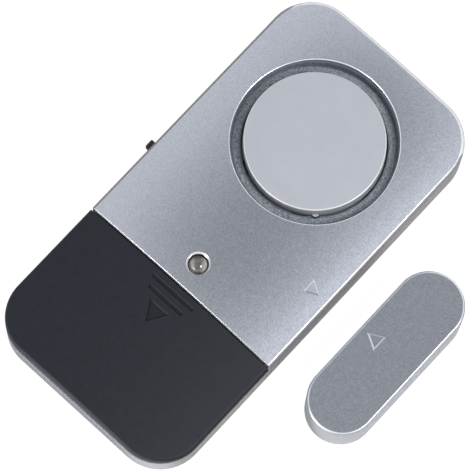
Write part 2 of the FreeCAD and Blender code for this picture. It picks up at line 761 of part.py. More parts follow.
def build_front_shell():
    """Front moulding: face and side walls, the round recess, lamp collar and screw posts."""
    body = new_body("front_shell")
    outline = new_sketch(body, "outline", z="split_height")
    draw_rounded(outline, "body_width", "body_length", "corner_radius")
    pad(outline, "body_thickness - split_height")
    trim_to_crown(body, "crown")
    soften_crown(body, "Fillet", "face_round")
    soften(body, "Chamfer", "Z", size("split_height"), "seam_chamfer")

    end = new_sketch(body, "end", y=f"{FRONT_EDGE} - body_length / 2", z="body_thickness")
    draw_rectangle(end, "body_width + wall", "body_length")
    pocket(end, "body_thickness - split_height")
    face_line = value(FRONT_EDGE)
    soften(body, "Chamfer", "Y", face_line, "front_bevel",
           keep=lambda edge: edge.BoundBox.ZMin > size("split_height") + 1)

    hollow = new_sketch(body, "hollow", z="split_height")
    draw_rounded(hollow, "body_width - 2 * wall", "body_length - 2 * wall", "corner_radius - wall")
    pocket(hollow, f"{FACE_UNDER} - split_height", upward=True)

    drum = new_sketch(body, "drum", x="ring_x", y=RING_Y, z=RING_UNDER)
    draw_circle(drum, f"{RING_RADIUS} + ring_wall")
    pad(drum, f"{FACE_UNDER} + face_thickness / 4 - {RING_UNDER}")
    recess = new_sketch(body, "recess", x="ring_x", z=f"-{RING_Y}", plane="XZ_Plane")
    draw_outline(recess, [
        ("0", f"{RING_UNDER} - wall"),
        (f"{CAP_FOOT} + cap_gap", f"{RING_UNDER} - wall"),
        (f"{CAP_FOOT} + cap_gap", RING_FLOOR),
        (f"{RING_RADIUS} - ring_taper", RING_FLOOR),
        (f"{RING_RADIUS} + ring_taper / 2", "body_thickness + ring_depth / 2"),
        ("0", "body_thickness + ring_depth / 2"),
    ])
    turned(recess, removes=True)
    middle_x = size("ring_x")
    middle_y = value(RING_Y)
    reach = value(RING_RADIUS)
    soften_crown(body, "Fillet", "rim_round",
                 keep=lambda edge: all(abs(math.hypot(point.X - middle_x, point.Y - middle_y) - reach)
                                       < size("ring_taper") for point in edge.Vertexes))
    notch = new_sketch(body, "key_notch",
                       x=f"ring_x + {KEY_OUT} * cos(key_angle * 1deg)",
                       y=f"{RING_Y} + {KEY_OUT} * sin(key_angle * 1deg)", z=RING_FLOOR)
    draw_circle(notch, "key_radius + cap_gap")
    pocket(notch, "ring_floor")

    collar = new_sketch(body, "lamp_collar", x="lamp_x", y=LAMP_Y, z=f"{FACE_UNDER} - collar_depth")
    draw_circle(collar, "lens_radius + lens_gap + collar_wall")
    pad(collar, "collar_depth + face_thickness / 2")
    bore = new_sketch(body, "lamp_bore", x="lamp_x", z=f"-{LAMP_Y}", plane="XZ_Plane")
    draw_outline(bore, [
        ("0", f"{FACE_UNDER} - collar_depth - wall"),
        ("lens_radius + lens_gap", f"{FACE_UNDER} - collar_depth - wall"),
        ("lens_radius + lens_gap", "body_thickness - lens_chamfer"),
        ("lens_radius + lens_gap + 2 * lens_chamfer", "body_thickness + lens_chamfer"),
        ("0", "body_thickness + lens_chamfer"),
    ])
    turned(bore, removes=True)

    for side in (-1, 1):
        for level in ("low", "high"):
            spot = {"x": f"{side} * {POST_X}", "y": POST_Y[level], "z": "split_height"}
            post = new_sketch(body, f"post_{level}_{side + 1}", **spot)
            draw_circle(post, "post_radius")
            pad(post, f"{FACE_UNDER} - split_height + face_thickness / 5")
            pilot = new_sketch(body, f"pilot_{level}_{side + 1}", **spot)
            draw_circle(pilot, "screw_radius + screw_gap / 2")
            pocket(pilot, f"{FACE_UNDER} - split_height", upward=True)

    slot = new_sketch(body, "knob_slot", x=SWITCH_Y, y=KNOB_Z, z=f"{KNOB_SIDE} - wall",
                      plane="YZ_Plane")
    draw_rectangle(slot, "knob_length + knob_travel + 2 * knob_gap", "knob_thickness + 2 * knob_gap")
    pocket(slot, "2.5 * wall", upward=True)

    mark = new_sketch(body, "mark", x=f"{LONG_SIDE} - mark_x - mark_length",
                      y=f"{FRONT_EDGE} + mark_y", z=f"{FACE_UNDER} + slide_gap")
    draw_triangle(mark, "mark_width", "mark_length")
    pad(mark, "face_thickness - slide_gap")
    trim_to_crown(body, "mark_top", "mark_rise")
    soften_crown(body, "Chamfer", "mark_bevel", "mark_rise")
    return body


def slope_in(cut):
    """Give a sunk sign sloping walls, narrower at its floor."""
    bind(cut, "TaperAngle", "-sign_slope")


def build_battery_cover():
    """Sliding cover: side tongues under the case's rails, a nose under the shell's edge."""
    body = new_body("battery_cover")
    outline = new_sketch(body, "outline", z=COVER_BOTTOM)
    draw_rounded(outline, "body_width", "body_length", "corner_radius")
    pad(outline, f"body_thickness - {COVER_BOTTOM}")
    trim_to_crown(body, "crown")
    soften_crown(body, "Fillet", "face_round")
    soften(body, "Chamfer", "Z", value(COVER_BOTTOM), "seam_chamfer")

    end = new_sketch(body, "end", y=f"{COVER_EDGE} + body_length / 2", z="body_thickness")
    draw_rectangle(end, "body_width + wall", "body_length")
    pocket(end, f"body_thickness - {COVER_BOTTOM}")
    hollow = new_sketch(body, "hollow", z=COVER_BOTTOM)
    draw_rounded(hollow, "body_width - 2 * cover_wall", "body_length - 2 * cover_wall",
                 "corner_radius - cover_wall")
    pocket(hollow, f"{FACE_UNDER} - {COVER_BOTTOM}", upward=True)

    tongue = new_sketch(body, "tongue", z=f"-({COVER_EDGE} - rail_clearance)", plane="XZ_Plane")
    root = "body_width / 2 - cover_wall"
    draw_outline(tongue, [
        (f"{root} - tongue_reach", COVER_BOTTOM),
        (f"{root} + cover_wall / 2", COVER_BOTTOM),
        (f"{root} + cover_wall / 2", f"{COVER_BOTTOM} + tongue_thickness"),
        (f"{root} - tongue_reach", f"{COVER_BOTTOM} + tongue_thickness"),
    ])
    right_tongue = pad(tongue, "front_start - cover_gap - 2 * rail_clearance - corner_radius")
    mirrored(body, right_tongue)

    nose = new_sketch(body, "nose", x=f"{COVER_EDGE} - nose_root", z="-nose_width / 2",
                      plane="YZ_Plane")
    draw_outline(nose, [
        ("0", NOSE_BOTTOM),
        ("nose_root + nose_reach", NOSE_BOTTOM),
        ("nose_root + nose_reach", f"{NOSE_BOTTOM} + nose_thickness"),
        ("nose_root - cover_gap", f"{NOSE_BOTTOM} + nose_thickness"),
        ("nose_root - cover_gap", f"{FACE_UNDER} + face_thickness / 4"),
        ("0", f"{FACE_UNDER} + face_thickness / 4"),
    ])
    pad(nose, "nose_width")

    for name in ("one", "two"):
        bar = new_sketch(body, f"bar_{name}", x="sign_x", y=f"{COVER_EDGE} - bar_{name}_y",
                         z="body_thickness")
        draw_rectangle(bar, f"bar_{name}_length", "bar_thickness")
        slope_in(pocket(bar, "sign_depth"))
    arrow = new_sketch(body, "arrow", x="sign_x", y=f"{COVER_EDGE} - arrow_y", z="body_thickness",
                       turn=-90)
    draw_triangle(arrow, "arrow_width", "arrow_length")
    slope_in(pocket(arrow, "sign_depth"))
    return body


# The sounder

def build_sounder():
    """Silver cap in the round recess, with the brass plate and its ceramic glued under it."""
    cap = new_body("sounder_cap")
    profile = new_sketch(cap, "profile", x="ring_x", z=f"-{RING_Y}", plane="XZ_Plane")
    top = "(body_thickness + cap_rise)"
    draw_outline(profile, [
        ("0", f"{top} - cap_top"),
        ("cap_radius - cap_wall", f"{top} - cap_top"),
        (f"{CAP_FOOT} - cap_wall", FLANGE_BOTTOM),
        (f"{CAP_FOOT} + cap_flange", FLANGE_BOTTOM),
        (f"{CAP_FOOT} + cap_flange", RING_UNDER),
        (CAP_FOOT, RING_UNDER),
        ("cap_radius", top),
        ("0", top),
    ])
    turned(profile)
    soften(cap, "Fillet", "Z", size("body_thickness") + size("cap_rise"), "rim_round")
    key = new_sketch(cap, "key", x=f"ring_x + {KEY_OUT} * cos(key_angle * 1deg)",
                     y=f"{RING_Y} + {KEY_OUT} * sin(key_angle * 1deg)", z=RING_UNDER)
    draw_circle(key, "key_radius")
    pad(key, "ring_floor + key_height")
    slot = new_sketch(cap, "sound_slot", x="ring_x + cap_radius", y=RING_Y, z=FLANGE_BOTTOM)
    draw_rectangle(slot, "4 * cap_wall", "sound_slot_width")
    opening = pocket(slot, "flange_thickness + ring_floor / 2", upward=True)
    doc.recompute()
    ring = cap.newObject("PartDesign::PolarPattern", "sound_slots")
    ring.Originals = [opening]
    ring.Axis = (profile, ["V_Axis"])
    ring.Angle = 360.0
    bind(ring, "Occurrences", "sound_slot_count")
    cap.Tip = ring

    plate_bottom = f"({FLANGE_BOTTOM} - plate_thickness)"
    plate = cylinder("piezo_plate", "cap_radius - plate_inset", "plate_thickness", "ring_x", RING_Y,
                     plate_bottom)
    ceramic = cylinder("piezo_ceramic", "cap_radius - plate_inset - ceramic_inset", "ceramic_thickness", "ring_x", RING_Y,
                       f"{plate_bottom} - ceramic_thickness")
    return [cap, plate, ceramic]


# The board and its parts

def build_board():
    body = new_body("circuit_board")
    length = f"({BOARD_HIGH} - {BOARD_LOW})"
    outline = new_sketch(body, "outline", y=f"({BOARD_HIGH} + {BOARD_LOW}) / 2", z="board_height")
    draw_rounded(outline, BOARD_WIDTH, length, "board_corner")
    pad(outline, "board_thickness")
    for side in (-1, 1):
        hole = new_sketch(body, f"post_hole_{side + 1}", x=f"{side} * {POST_X}", y=POST_Y["low"],
                          z=BOARD_TOP)
        draw_circle(hole, "seat_radius + 3 * screw_gap")
        pocket(hole, "board_thickness")
        for name, x in (("lamp", f"lamp_x + {side} * leg_pitch / 2"),):
            leg_hole = new_sketch(body, f"{name}_hole_{side + 1}", x=x, y=LAMP_Y, z=BOARD_TOP)
            draw_circle(leg_hole, "leg_radius + screw_gap")
            pocket(leg_hole, "board_thickness")
        reed_hole = new_sketch(body, f"reed_hole_{side + 1}", x=REED_X, z=BOARD_TOP,
                               y=f"{REED_Y} + {side} * (reed_length / 2 + reed_lead_reach)")
        draw_circle(reed_hole, "reed_wire_radius + screw_gap")
        pocket(reed_hole, "board_thickness")
    for index in (-1, 0, 1):
        pin_hole = new_sketch(body, f"pin_hole_{index + 1}", x=f"{SWITCH_OUT} + switch_depth / 2",
                              y=f"{SWITCH_Y} + {index} * switch_pin_pitch", z=BOARD_TOP)
        draw_rectangle(pin_hole, "switch_pin_thickness + 2 * screw_gap",
                       "switch_pin_width + 2 * screw_gap")
        pocket(pin_hole, "board_thickness")
    return body


def build_reed_switch():
    """Glass tube along the long side with two steel reeds that a magnet pulls together."""
    axis_height = f"({BOARD_TOP} + reed_rise)"
    glass = new_body("reed_glass")
    profile = new_sketch(glass, "profile", x=REED_X, y=f"{REED_Y} - reed_length / 2",
                         z=axis_height)
    tip = "3 * reed_wire_radius"
    draw_outline(profile, [
        ("reed_wire_radius", "0"),
        (tip, "0"),
        ("reed_radius", "reed_radius"),
        ("reed_radius", "reed_length - reed_radius"),
        (tip, "reed_length"),
        ("reed_wire_radius", "reed_length"),
        ("reed_wire_radius", "reed_length - reed_radius"),
        ("reed_radius - reed_glass_wall", "reed_length - 1.5 * reed_radius"),
        ("reed_radius - reed_glass_wall", "1.5 * reed_radius"),
        ("reed_wire_radius", "reed_radius"),
    ])
    turned(profile)

    wire_radius = size("reed_wire_radius")
    x = value(REED_X)
    z = value(axis_height)
    half = size("reed_length") / 2
    reach = size("reed_lead_reach")
    blade_length = half - 1.5 * size("reed_radius") + size("reed_blade_overlap") / 2
    blade_thickness = size("reed_blade_thickness")
    blade_width = size("reed_blade_width")
    foot = size("board_height") - size("leg_stub")
    blades = []
    for side in (-1, 1):
        centre_y = value(REED_Y)
        inner = centre_y + side * (half - 1.5 * size("reed_radius"))
        outer = centre_y + side * (half + reach)
        bend = 2 * wire_radius
        corner = Vector(x, outer, z)
        first = Vector(x, outer - side * bend, z)
        last = Vector(x, outer, z - bend)
        middle = corner + Vector(0, -side, -1) * bend * (1 - math.sqrt(0.5))
        path = Part.Wire([
            Part.LineSegment(Vector(x, inner, z), first).toShape(),
            Part.Arc(first, middle, last).toShape(),
            Part.LineSegment(last, Vector(x, outer, foot)).toShape(),
        ])
        section = Part.Wire(Part.Circle(Vector(x, inner, z), Vector(0, side, 0), wire_radius).toShape())
        wire = path.makePipeShell([section], True, True)
        blade = Part.makeBox(blade_width, blade_length, blade_thickness)
        low_y = inner if side < 0 else inner - blade_length
        level = z if side < 0 else z - blade_thickness - wire_radius / 2
        blade.translate(Vector(x - blade_width / 2, low_y, level))
        blades.append(wire.fuse(blade).removeSplitter())
    return [glass, shaped("reed_blades", Part.makeCompound(blades))]


def build_slide_switch():
    """Side-worked slide switch: moulded base, folded steel frame, knob and solder pins."""
    mid_x = f"({SWITCH_OUT} + switch_depth / 2)"
    slot_length = "knob_length + knob_travel + 2 * knob_gap"
    slot_height = "knob_thickness + 2 * knob_gap"
    foot_room = "knob_foot_length + knob_travel + 2 * knob_gap"

    base_x = f"({mid_x} + frame_thickness / 2)"
    solid = box("switch_block", "switch_depth - frame_thickness",
                "switch_length - 2 * frame_thickness", "switch_height - frame_thickness",
                base_x, SWITCH_Y, BOARD_TOP)
    room = box("switch_room", "2 * (knob_foot_depth + knob_gap)", foot_room, slot_height,
               f"{SWITCH_OUT} + frame_thickness", SWITCH_Y, f"{KNOB_Z} - knob_thickness / 2 - knob_gap")
    base = without("switch_base", solid, [room])

    outer = box("frame_block", "switch_depth", "switch_length", "switch_height", mid_x, SWITCH_Y,
                BOARD_TOP)
    inner = box("frame_room", "switch_depth", "switch_length - 2 * frame_thickness",
                "2 * (switch_height - frame_thickness)", f"{mid_x} + frame_thickness", SWITCH_Y,
                f"{BOARD_TOP} - (switch_height - frame_thickness)")
    window = box("frame_window", "2 * wall", slot_length, slot_height, SWITCH_OUT, SWITCH_Y,
                 f"{KNOB_Z} - knob_thickness / 2 - knob_gap")
    frame = without("switch_frame", outer, [inner, window])

    knob = new_body("switch_knob")
    level = f"{KNOB_Z} - knob_thickness / 2"
    foot = new_sketch(knob, "foot", x=f"{SWITCH_OUT} + frame_thickness + knob_gap / 2 + knob_foot_depth / 2",
                      y=KNOB_Y, z=level)
    draw_rectangle(foot, "knob_foot_depth", "knob_foot_length")
    pad(foot, "knob_thickness")
    reach = f"({SWITCH_OUT} + frame_thickness + knob_gap - ({KNOB_SIDE} - knob_reach))"
    stem = new_sketch(knob, "stem", x=f"{KNOB_SIDE} - knob_reach + {reach} / 2", y=KNOB_Y, z=level)
    draw_rectangle(stem, reach, "knob_length")
    pad(stem, "knob_thickness")
    soften(knob, "Fillet", "X", value(f"{KNOB_SIDE} - knob_reach"), "knob_round")

    pins = []
    for index in (-1, 0, 1):
        pins.append(box(f"switch_pin_{index + 1}", "switch_pin_thickness", "switch_pin_width",
                        "board_thickness + leg_stub", mid_x,
                        f"{SWITCH_Y} + {index} * switch_pin_pitch",
                        f"{BOARD_TOP} - board_thickness - leg_stub"))
    doc.recompute()
    group = shaped("switch_pins", Part.makeCompound([pin.Shape for pin in pins]))
    return [base, frame, knob, group]


def build_lamp():
    """Clear domed lens in the face, and the small lamp under it on two legs."""
    lens = new_body("indicator_lens")
    profile = new_sketch(lens, "profile", x="lamp_x", z=f"-{LAMP_Y}", plane="XZ_Plane")
    collar_bottom = f"({FACE_UNDER} - collar_depth)"
    shoulder = "(body_thickness + lens_rise - lens_dome)"
    draw_outline(profile, [
        ("0", f"{collar_bottom} - lens_flange_thickness"),
        ("lens_radius + lens_flange", f"{collar_bottom} - lens_flange_thickness"),
        ("lens_radius + lens_flange", collar_bottom),
        ("lens_radius", collar_bottom),
        ("lens_radius", shoulder),
        ("0", shoulder),
    ])
    turned(profile)
    ball = new_sketch(lens, "dome", x="lamp_x", z=f"-{LAMP_Y}", plane="XZ_Plane")
    draw_dome(ball, "lens_radius", "lens_dome", shoulder)
    turned(ball)

    lamp = new_body("indicator_lamp")
    shape = new_sketch(lamp, "profile", x="lamp_x", z=f"-{LAMP_Y}", plane="XZ_Plane")
    crown = f"({collar_bottom} - lens_flange_thickness - lamp_gap - lamp_radius)"
    draw_outline(shape, [
        ("0", BOARD_TOP),
        ("lamp_radius + lamp_flange", BOARD_TOP),
        ("lamp_radius + lamp_flange", f"{BOARD_TOP} + lamp_flange_thickness"),
        ("lamp_radius", f"{BOARD_TOP} + lamp_flange_thickness"),
        ("lamp_radius", crown),
        ("0", crown),
    ])
    turned(shape)
    top = new_sketch(lamp, "dome", x="lamp_x", z=f"-{LAMP_Y}", plane="XZ_Plane")
    draw_dome(top, "lamp_radius", "lamp_radius - lamp_gap", crown)
    turned(top)

    legs = []
    for side in (-1, 1):
        legs.append(cylinder(f"lamp_leg_{side + 1}", "leg_radius", "board_thickness + leg_stub",
                             f"lamp_x + {side} * leg_pitch / 2", LAMP_Y,
                             f"{BOARD_TOP} - board_thickness - leg_stub"))
    doc.recompute()
    group = shaped("lamp_legs", Part.makeCompound([leg.Shape for leg in legs]))
    return [lens, lamp, group]


def draw_dome(sketch, radius, rise, base):
    """Half a dome: the axis, the base line and an arc that meets the axis at a right angle."""
    centre = Vector(0, 4.0, 0)
    circle = Part.Circle(centre, Vector(0, 0, 1), 3.0)
    sketch.addGeometry(Part.ArcOfCircle(circle, math.radians(20), math.radians(90)), False)
    start = sketch.getPoint(0, 1)
    end = sketch.getPoint(0, 2)
    corner = Vector(0, start.y, 0)
    sketch.addGeometry(Part.LineSegment(end, corner), False)
    sketch.addGeometry(Part.LineSegment(corner, start), False)
    sketch.addConstraint(Sketcher.Constraint("Coincident", 0, 2, 1, 1))
    sketch.addConstraint(Sketcher.Constraint("Coincident", 1, 2, 2, 1))
    sketch.addConstraint(Sketcher.Constraint("Coincident", 2, 2, 0, 1))
    sketch.addConstraint(Sketcher.Constraint("PointOnObject", 0, 3, -2))
    sketch.addConstraint(Sketcher.Constraint("PointOnObject", 0, 2, -2))
    sketch.addConstraint(Sketcher.Constraint("PointOnObject", 1, 2, -2))
    sketch.addConstraint(Sketcher.Constraint("Horizontal", 2))
    fix_size(sketch, "DistanceX", (1, 2, 0, 1, start.x), radius)
    fix_size(sketch, "DistanceY", (1, 2, 1, 1, end.y - start.y), rise)
    fix_size(sketch, "DistanceY", (-1, 1, 1, 2, start.y), base)


def build_chip():
    """Moulded eight-legged chip with legs bent down to the board."""
    body = box("alarm_chip", "chip_length", "chip_width", "chip_height", "chip_x", CHIP_Y,
               f"{BOARD_TOP} + chip_lift")
    width = size("chip_leg_width")
    thick = size("chip_leg_thickness")
    reach = size("chip_leg_reach")
    middle = value(f"{BOARD_TOP} + chip_lift + chip_height / 2")
    board = value(BOARD_TOP)
    edge = size("chip_width") / 2
    legs = []
    for side in (-1, 1):
        for index in range(4):
            x = size("chip_x") + (index - 1.5) * size("chip_leg_pitch") - width / 2
            outline = [
                (edge, middle), (edge + reach * 0.4, middle), (edge + reach * 0.5, board + thick),
                (edge + reach, board + thick), (edge + reach, board),
                (edge + reach * 0.4, board), (edge + reach * 0.3, middle - thick),
                (edge, middle - thick),
            ]
            points = [Vector(x, value(CHIP_Y) + side * y, z) for y, z in outline]
            face = Part.Face(Part.makePolygon(points + points[:1]))
            legs.append(face.extrude(Vector(width, 0, 0)))
    return [body, shaped("chip_legs", Part.makeCompound(legs))]


def build_coil():
    """Step-up coil: a ferrite bobbin and the copper wound on it."""
    core = new_body("coil_core")
    profile = new_sketch(core, "profile", x=COIL_X, z=f"-{COIL_Y}", plane="XZ_Plane")
    draw_outline(profile, [
        ("0", BOARD_TOP),
        ("coil_radius", BOARD_TOP),
        ("coil_radius", f"{BOARD_TOP} + coil_flange"),
        ("coil_core_radius", f"{BOARD_TOP} + coil_flange"),
        ("coil_core_radius", f"{BOARD_TOP} + coil_height - coil_flange"),
        ("coil_radius", f"{BOARD_TOP} + coil_height - coil_flange"),
        ("coil_radius", f"{BOARD_TOP} + coil_height"),
        ("0", f"{BOARD_TOP} + coil_height"),
    ])
    turned(profile)
    outer = cylinder("winding_outside", "coil_radius - winding_clearance",
                     "coil_height - 2 * coil_flange", COIL_X, COIL_Y,
                     f"{BOARD_TOP} + coil_flange")
    inner = cylinder("winding_inside", "coil_core_radius", "coil_height - 2 * coil_flange",
                     COIL_X, COIL_Y, f"{BOARD_TOP} + coil_flange")
    return [core, without("coil_winding", outer, [inner])]


def build_small_parts():
    """The transistor and the rows of chip resistors and capacitors."""
    block = box("transistor_block", "transistor_length", "transistor_width", "transistor_height",
                "transistor_x", TRANSISTOR_Y, BOARD_TOP)
    legs = []
    spots = [("-transistor_leg_pitch / 2", -1), ("transistor_leg_pitch / 2", -1), ("0", 1)]
    for number, (shift, side) in enumerate(spots):
        legs.append(box(f"transistor_leg_{number}", "transistor_leg_width",
                        "2 * transistor_leg_reach", "transistor_height / 4",
                        f"transistor_x + {shift}",
                        f"{TRANSISTOR_Y} + {side} * transistor_width / 2", BOARD_TOP))
    items = [fused("driver_transistor", [block] + legs)]

    rows = {"resistor": f"({KNOB_SIDE} + resistor_row_x)", "capacitor": "capacitor_row_x"}
    for kind, x in rows.items():
        for index in range(int(size(f"{kind}_count"))):
            y = f"{FRONT_EDGE} + {kind}_row_y + {index} * {kind}_row_pitch"
            middle = box(f"{kind}_middle_{index + 1}", "small_part_length", "small_part_width",
                         "small_part_height", x, y, BOARD_TOP)
            ends = []
            for side in (-1, 1):
                ends.append(box(f"{kind}_end_{index + 1}_{side + 1}", "small_part_end",
                                "small_part_width * 1.06", "small_part_height * 1.12",
                                f"{x} + {side} * (small_part_length - small_part_end) / 2", y,
                                BOARD_TOP))
            items.append(fused(f"chip_{kind}_{index + 1}", [middle] + ends))
    return items


# The battery bay

def build_cells():
    """Three button cells side by side; the one in the middle lies the other way up."""
    names = ("coin_cell_left", "coin_cell_middle", "coin_cell_right")
    cells = []
    for side, name in zip((-1, 0, 1), names):
        cell = new_body(name)
        profile = new_sketch(cell, "profile", x=f"{side} * {CELL_PITCH}", z=f"-{CELL_Y}",
                             plane="XZ_Plane")
        points = [
            ("0", "0"), (f"{CELL_RADIUS} - cell_edge", "0"), (CELL_RADIUS, "cell_edge"),
            (CELL_RADIUS, f"{CELL_THICKNESS} - cell_cap_height - cell_edge"),
            (f"{CELL_RADIUS} - cell_edge", f"{CELL_THICKNESS} - cell_cap_height"),
            ("cell_cap_radius", f"{CELL_THICKNESS} - cell_cap_height"),
            ("cell_cap_radius", CELL_THICKNESS), ("0", CELL_THICKNESS),
        ]
        lifted = []
        for across, up in points:
            level = f"{CELL_TOP} - ({up})" if side != 0 else f"{CELL_BOTTOM} + {up}"
            lifted.append((across, level))
        draw_outline(profile, lifted)
        turned(profile)
        cells.append(cell)
    return cells


def build_contacts():
    """Nickel-plated springs: two flat strips on the floor, a side leaf, a strip on the cover."""
    reach = f"({CARRIER_HALF} + contact_gap + contact_thickness)"
    strip = box("negative_strip", "contact_width", f"{reach} + {CELL_RADIUS} / 2", "contact_thickness",
                f"-{CELL_PITCH}", f"{CELL_Y} + ({reach} - {CELL_RADIUS} / 2) / 2", "floor_thickness")
    tab = box("negative_tab", "contact_width", "contact_thickness", "contact_tab_height",
              f"-{CELL_PITCH}", f"{TAB_Y} + contact_thickness / 2", "floor_thickness")
    negative = fused("negative_contact", [strip, tab])

    link = box("cell_link", f"{CELL_PITCH} + contact_width", "contact_width", "contact_thickness",
               f"{CELL_PITCH} / 2", CELL_Y, "floor_thickness")

    leaf = box("leaf_strip", "contact_thickness", "leaf_length", "leaf_height",
               f"{LEAF_X} + contact_thickness / 2", f"{CELL_Y} - link_width / 2 + leaf_length / 2",
               "floor_thickness + leaf_lift")
    bump = cylinder("leaf_bump_round", "leaf_bump", "leaf_height", LEAF_X, CELL_Y,
                    "floor_thickness + leaf_lift")
    behind = box("leaf_behind", "4 * leaf_bump", "4 * leaf_bump", "2 * leaf_height",
                 f"{LEAF_X} + 2 * leaf_bump + contact_thickness / 2", CELL_Y,
                 "floor_thickness + leaf_lift - leaf_height / 2")
    positive = fused("positive_contact", [leaf, without("leaf_dent", bump, [behind])])

    top_strip = box("cover_strip", f"{CELL_PITCH} + 2 * contact_width", "link_width",
                    "contact_thickness", f"-{CELL_PITCH} / 2", CELL_Y,
                    f"{FACE_UNDER} - contact_thickness")
    domes = []
    for side in (-1, 0):
        dome = doc.addObject("Part::Cone", f"cover_dome_{side + 1}")
        bind(dome, "Radius1", "link_dome_radius / 2")
        bind(dome, "Radius2", "link_dome_radius")
        bind(dome, "Height", "link_dome_height")
        place(dome, f"{side} * {CELL_PITCH}", CELL_Y,
              LINK_BOTTOM)
        domes.append(dome)
    cover_link = fused("cover_link", [top_strip] + domes)
    return [negative, link, positive, cover_link]


def build_wires():
    """Two wires from the bay through the bulkhead's notches, two from the sounder."""
    thick = size("wire_diameter")
    half = thick / 2
    board = value(BOARD_TOP)
    notch = value(NOTCH_X)
    lift = value(BULKHEAD_TOP) - 1.4 * thick
    tab = value(f"{TAB_Y} + contact_thickness")
    land = value(POST_Y["low"]) - 0.6 * thick
    passage = value(FRONT_EDGE)
    black = [
        (-notch, tab, size("floor_thickness") + size("contact_tab_height") - thick),
        (-notch, tab + 3.4 * thick, size("floor_thickness") + size("contact_tab_height") - thick),
        (-notch, passage - thick, lift),
        (-notch, land - 2.6 * thick, lift),
        (-notch, land, board + 1.6 * thick),
        (-notch, land, board),
    ]
    leaf_face = value(LEAF_X)
    leaf_end = value(f"{CELL_Y} - link_width / 2 + leaf_length")
    red_start = leaf_end - 1.2 * thick
    red = [
        (leaf_face, red_start, size("floor_thickness") + size("leaf_height") - half),
        (leaf_face - 2.4 * thick, red_start, size("floor_thickness") + size("leaf_height") - half),
        (notch + 1.2 * thick, passage - 3.0 * thick, lift),
        (notch, passage - thick, lift),
        (notch, land - 2.6 * thick, lift),
        (notch, land, board + 1.6 * thick),
        (notch, land, board),
    ]
    items = [
        tube("battery_lead_black", black, thick),
        tube("battery_lead_red", red, thick),
    ]
    under_plate = value(f"{FLANGE_BOTTOM} - plate_thickness")
    under_ceramic = under_plate - size("ceramic_thickness")
    plate_y = value(RING_Y) - size("lead_inset")
    for name, shift, level in (
        ("piezo_lead_black", -size("lead_spread"), under_plate),
        ("piezo_lead_red", 0.0, under_ceramic),
    ):
        x = size("ring_x") + shift
        middle = (level + board) / 2
        run = [
            (x, plate_y, level),
            (x, plate_y, middle),
            (x, plate_y - size("lead_reach"), middle),
            (x, plate_y - size("lead_reach"), board),
        ]
        items.append(tube(name, run, size("lead_diameter")))
    return items


# Screws and tape

def build_screws():
    """Self-tapping screws from the back into the shell's posts."""
    screw = new_body("screw_form")
    profile = new_sketch(screw, "profile", plane="XZ_Plane")
    draw_outline(profile, [
        ("0", "head_depth - screw_head_height"),
        ("screw_head_radius * 0.8", "head_depth - screw_head_height"),
        ("screw_head_radius", "head_depth - screw_head_height * 0.6"),
        ("screw_head_radius", "head_depth"),
        ("screw_radius", "head_depth"),
        ("screw_radius", f"{SCREW_TIP} - screw_radius"),
        ("screw_radius / 3", SCREW_TIP),
        ("0", SCREW_TIP),
    ])
    turned(profile)
    for name, width, height in (("a", "screw_head_radius * 1.3", "screw_cross_width"),
                                ("b", "screw_cross_width", "screw_head_radius * 1.3")):
        cross = new_sketch(screw, f"cross_{name}", z="head_depth - screw_head_height")
        draw_rectangle(cross, width, height)
        pocket(cross, "screw_cross_depth", upward=True)
    doc.recompute()
    copies = []
    for side in (-1, 1):
        for level in ("low", "high"):
            copy = screw.Shape.copy()
            copy.translate(Vector(side * value(POST_X), value(POST_Y[level]), 0))
            copies.append(copy)
    return [shaped("case_screws", Part.makeCompound(copies))]


def build_tape():
    body = new_body("mounting_tape")
    outline = new_sketch(body, "outline")
    draw_rounded(outline, "tape_width", "tape_length", "tape_corner")
    pad(outline, "tape_thickness")
    return [body]


# The magnet unit

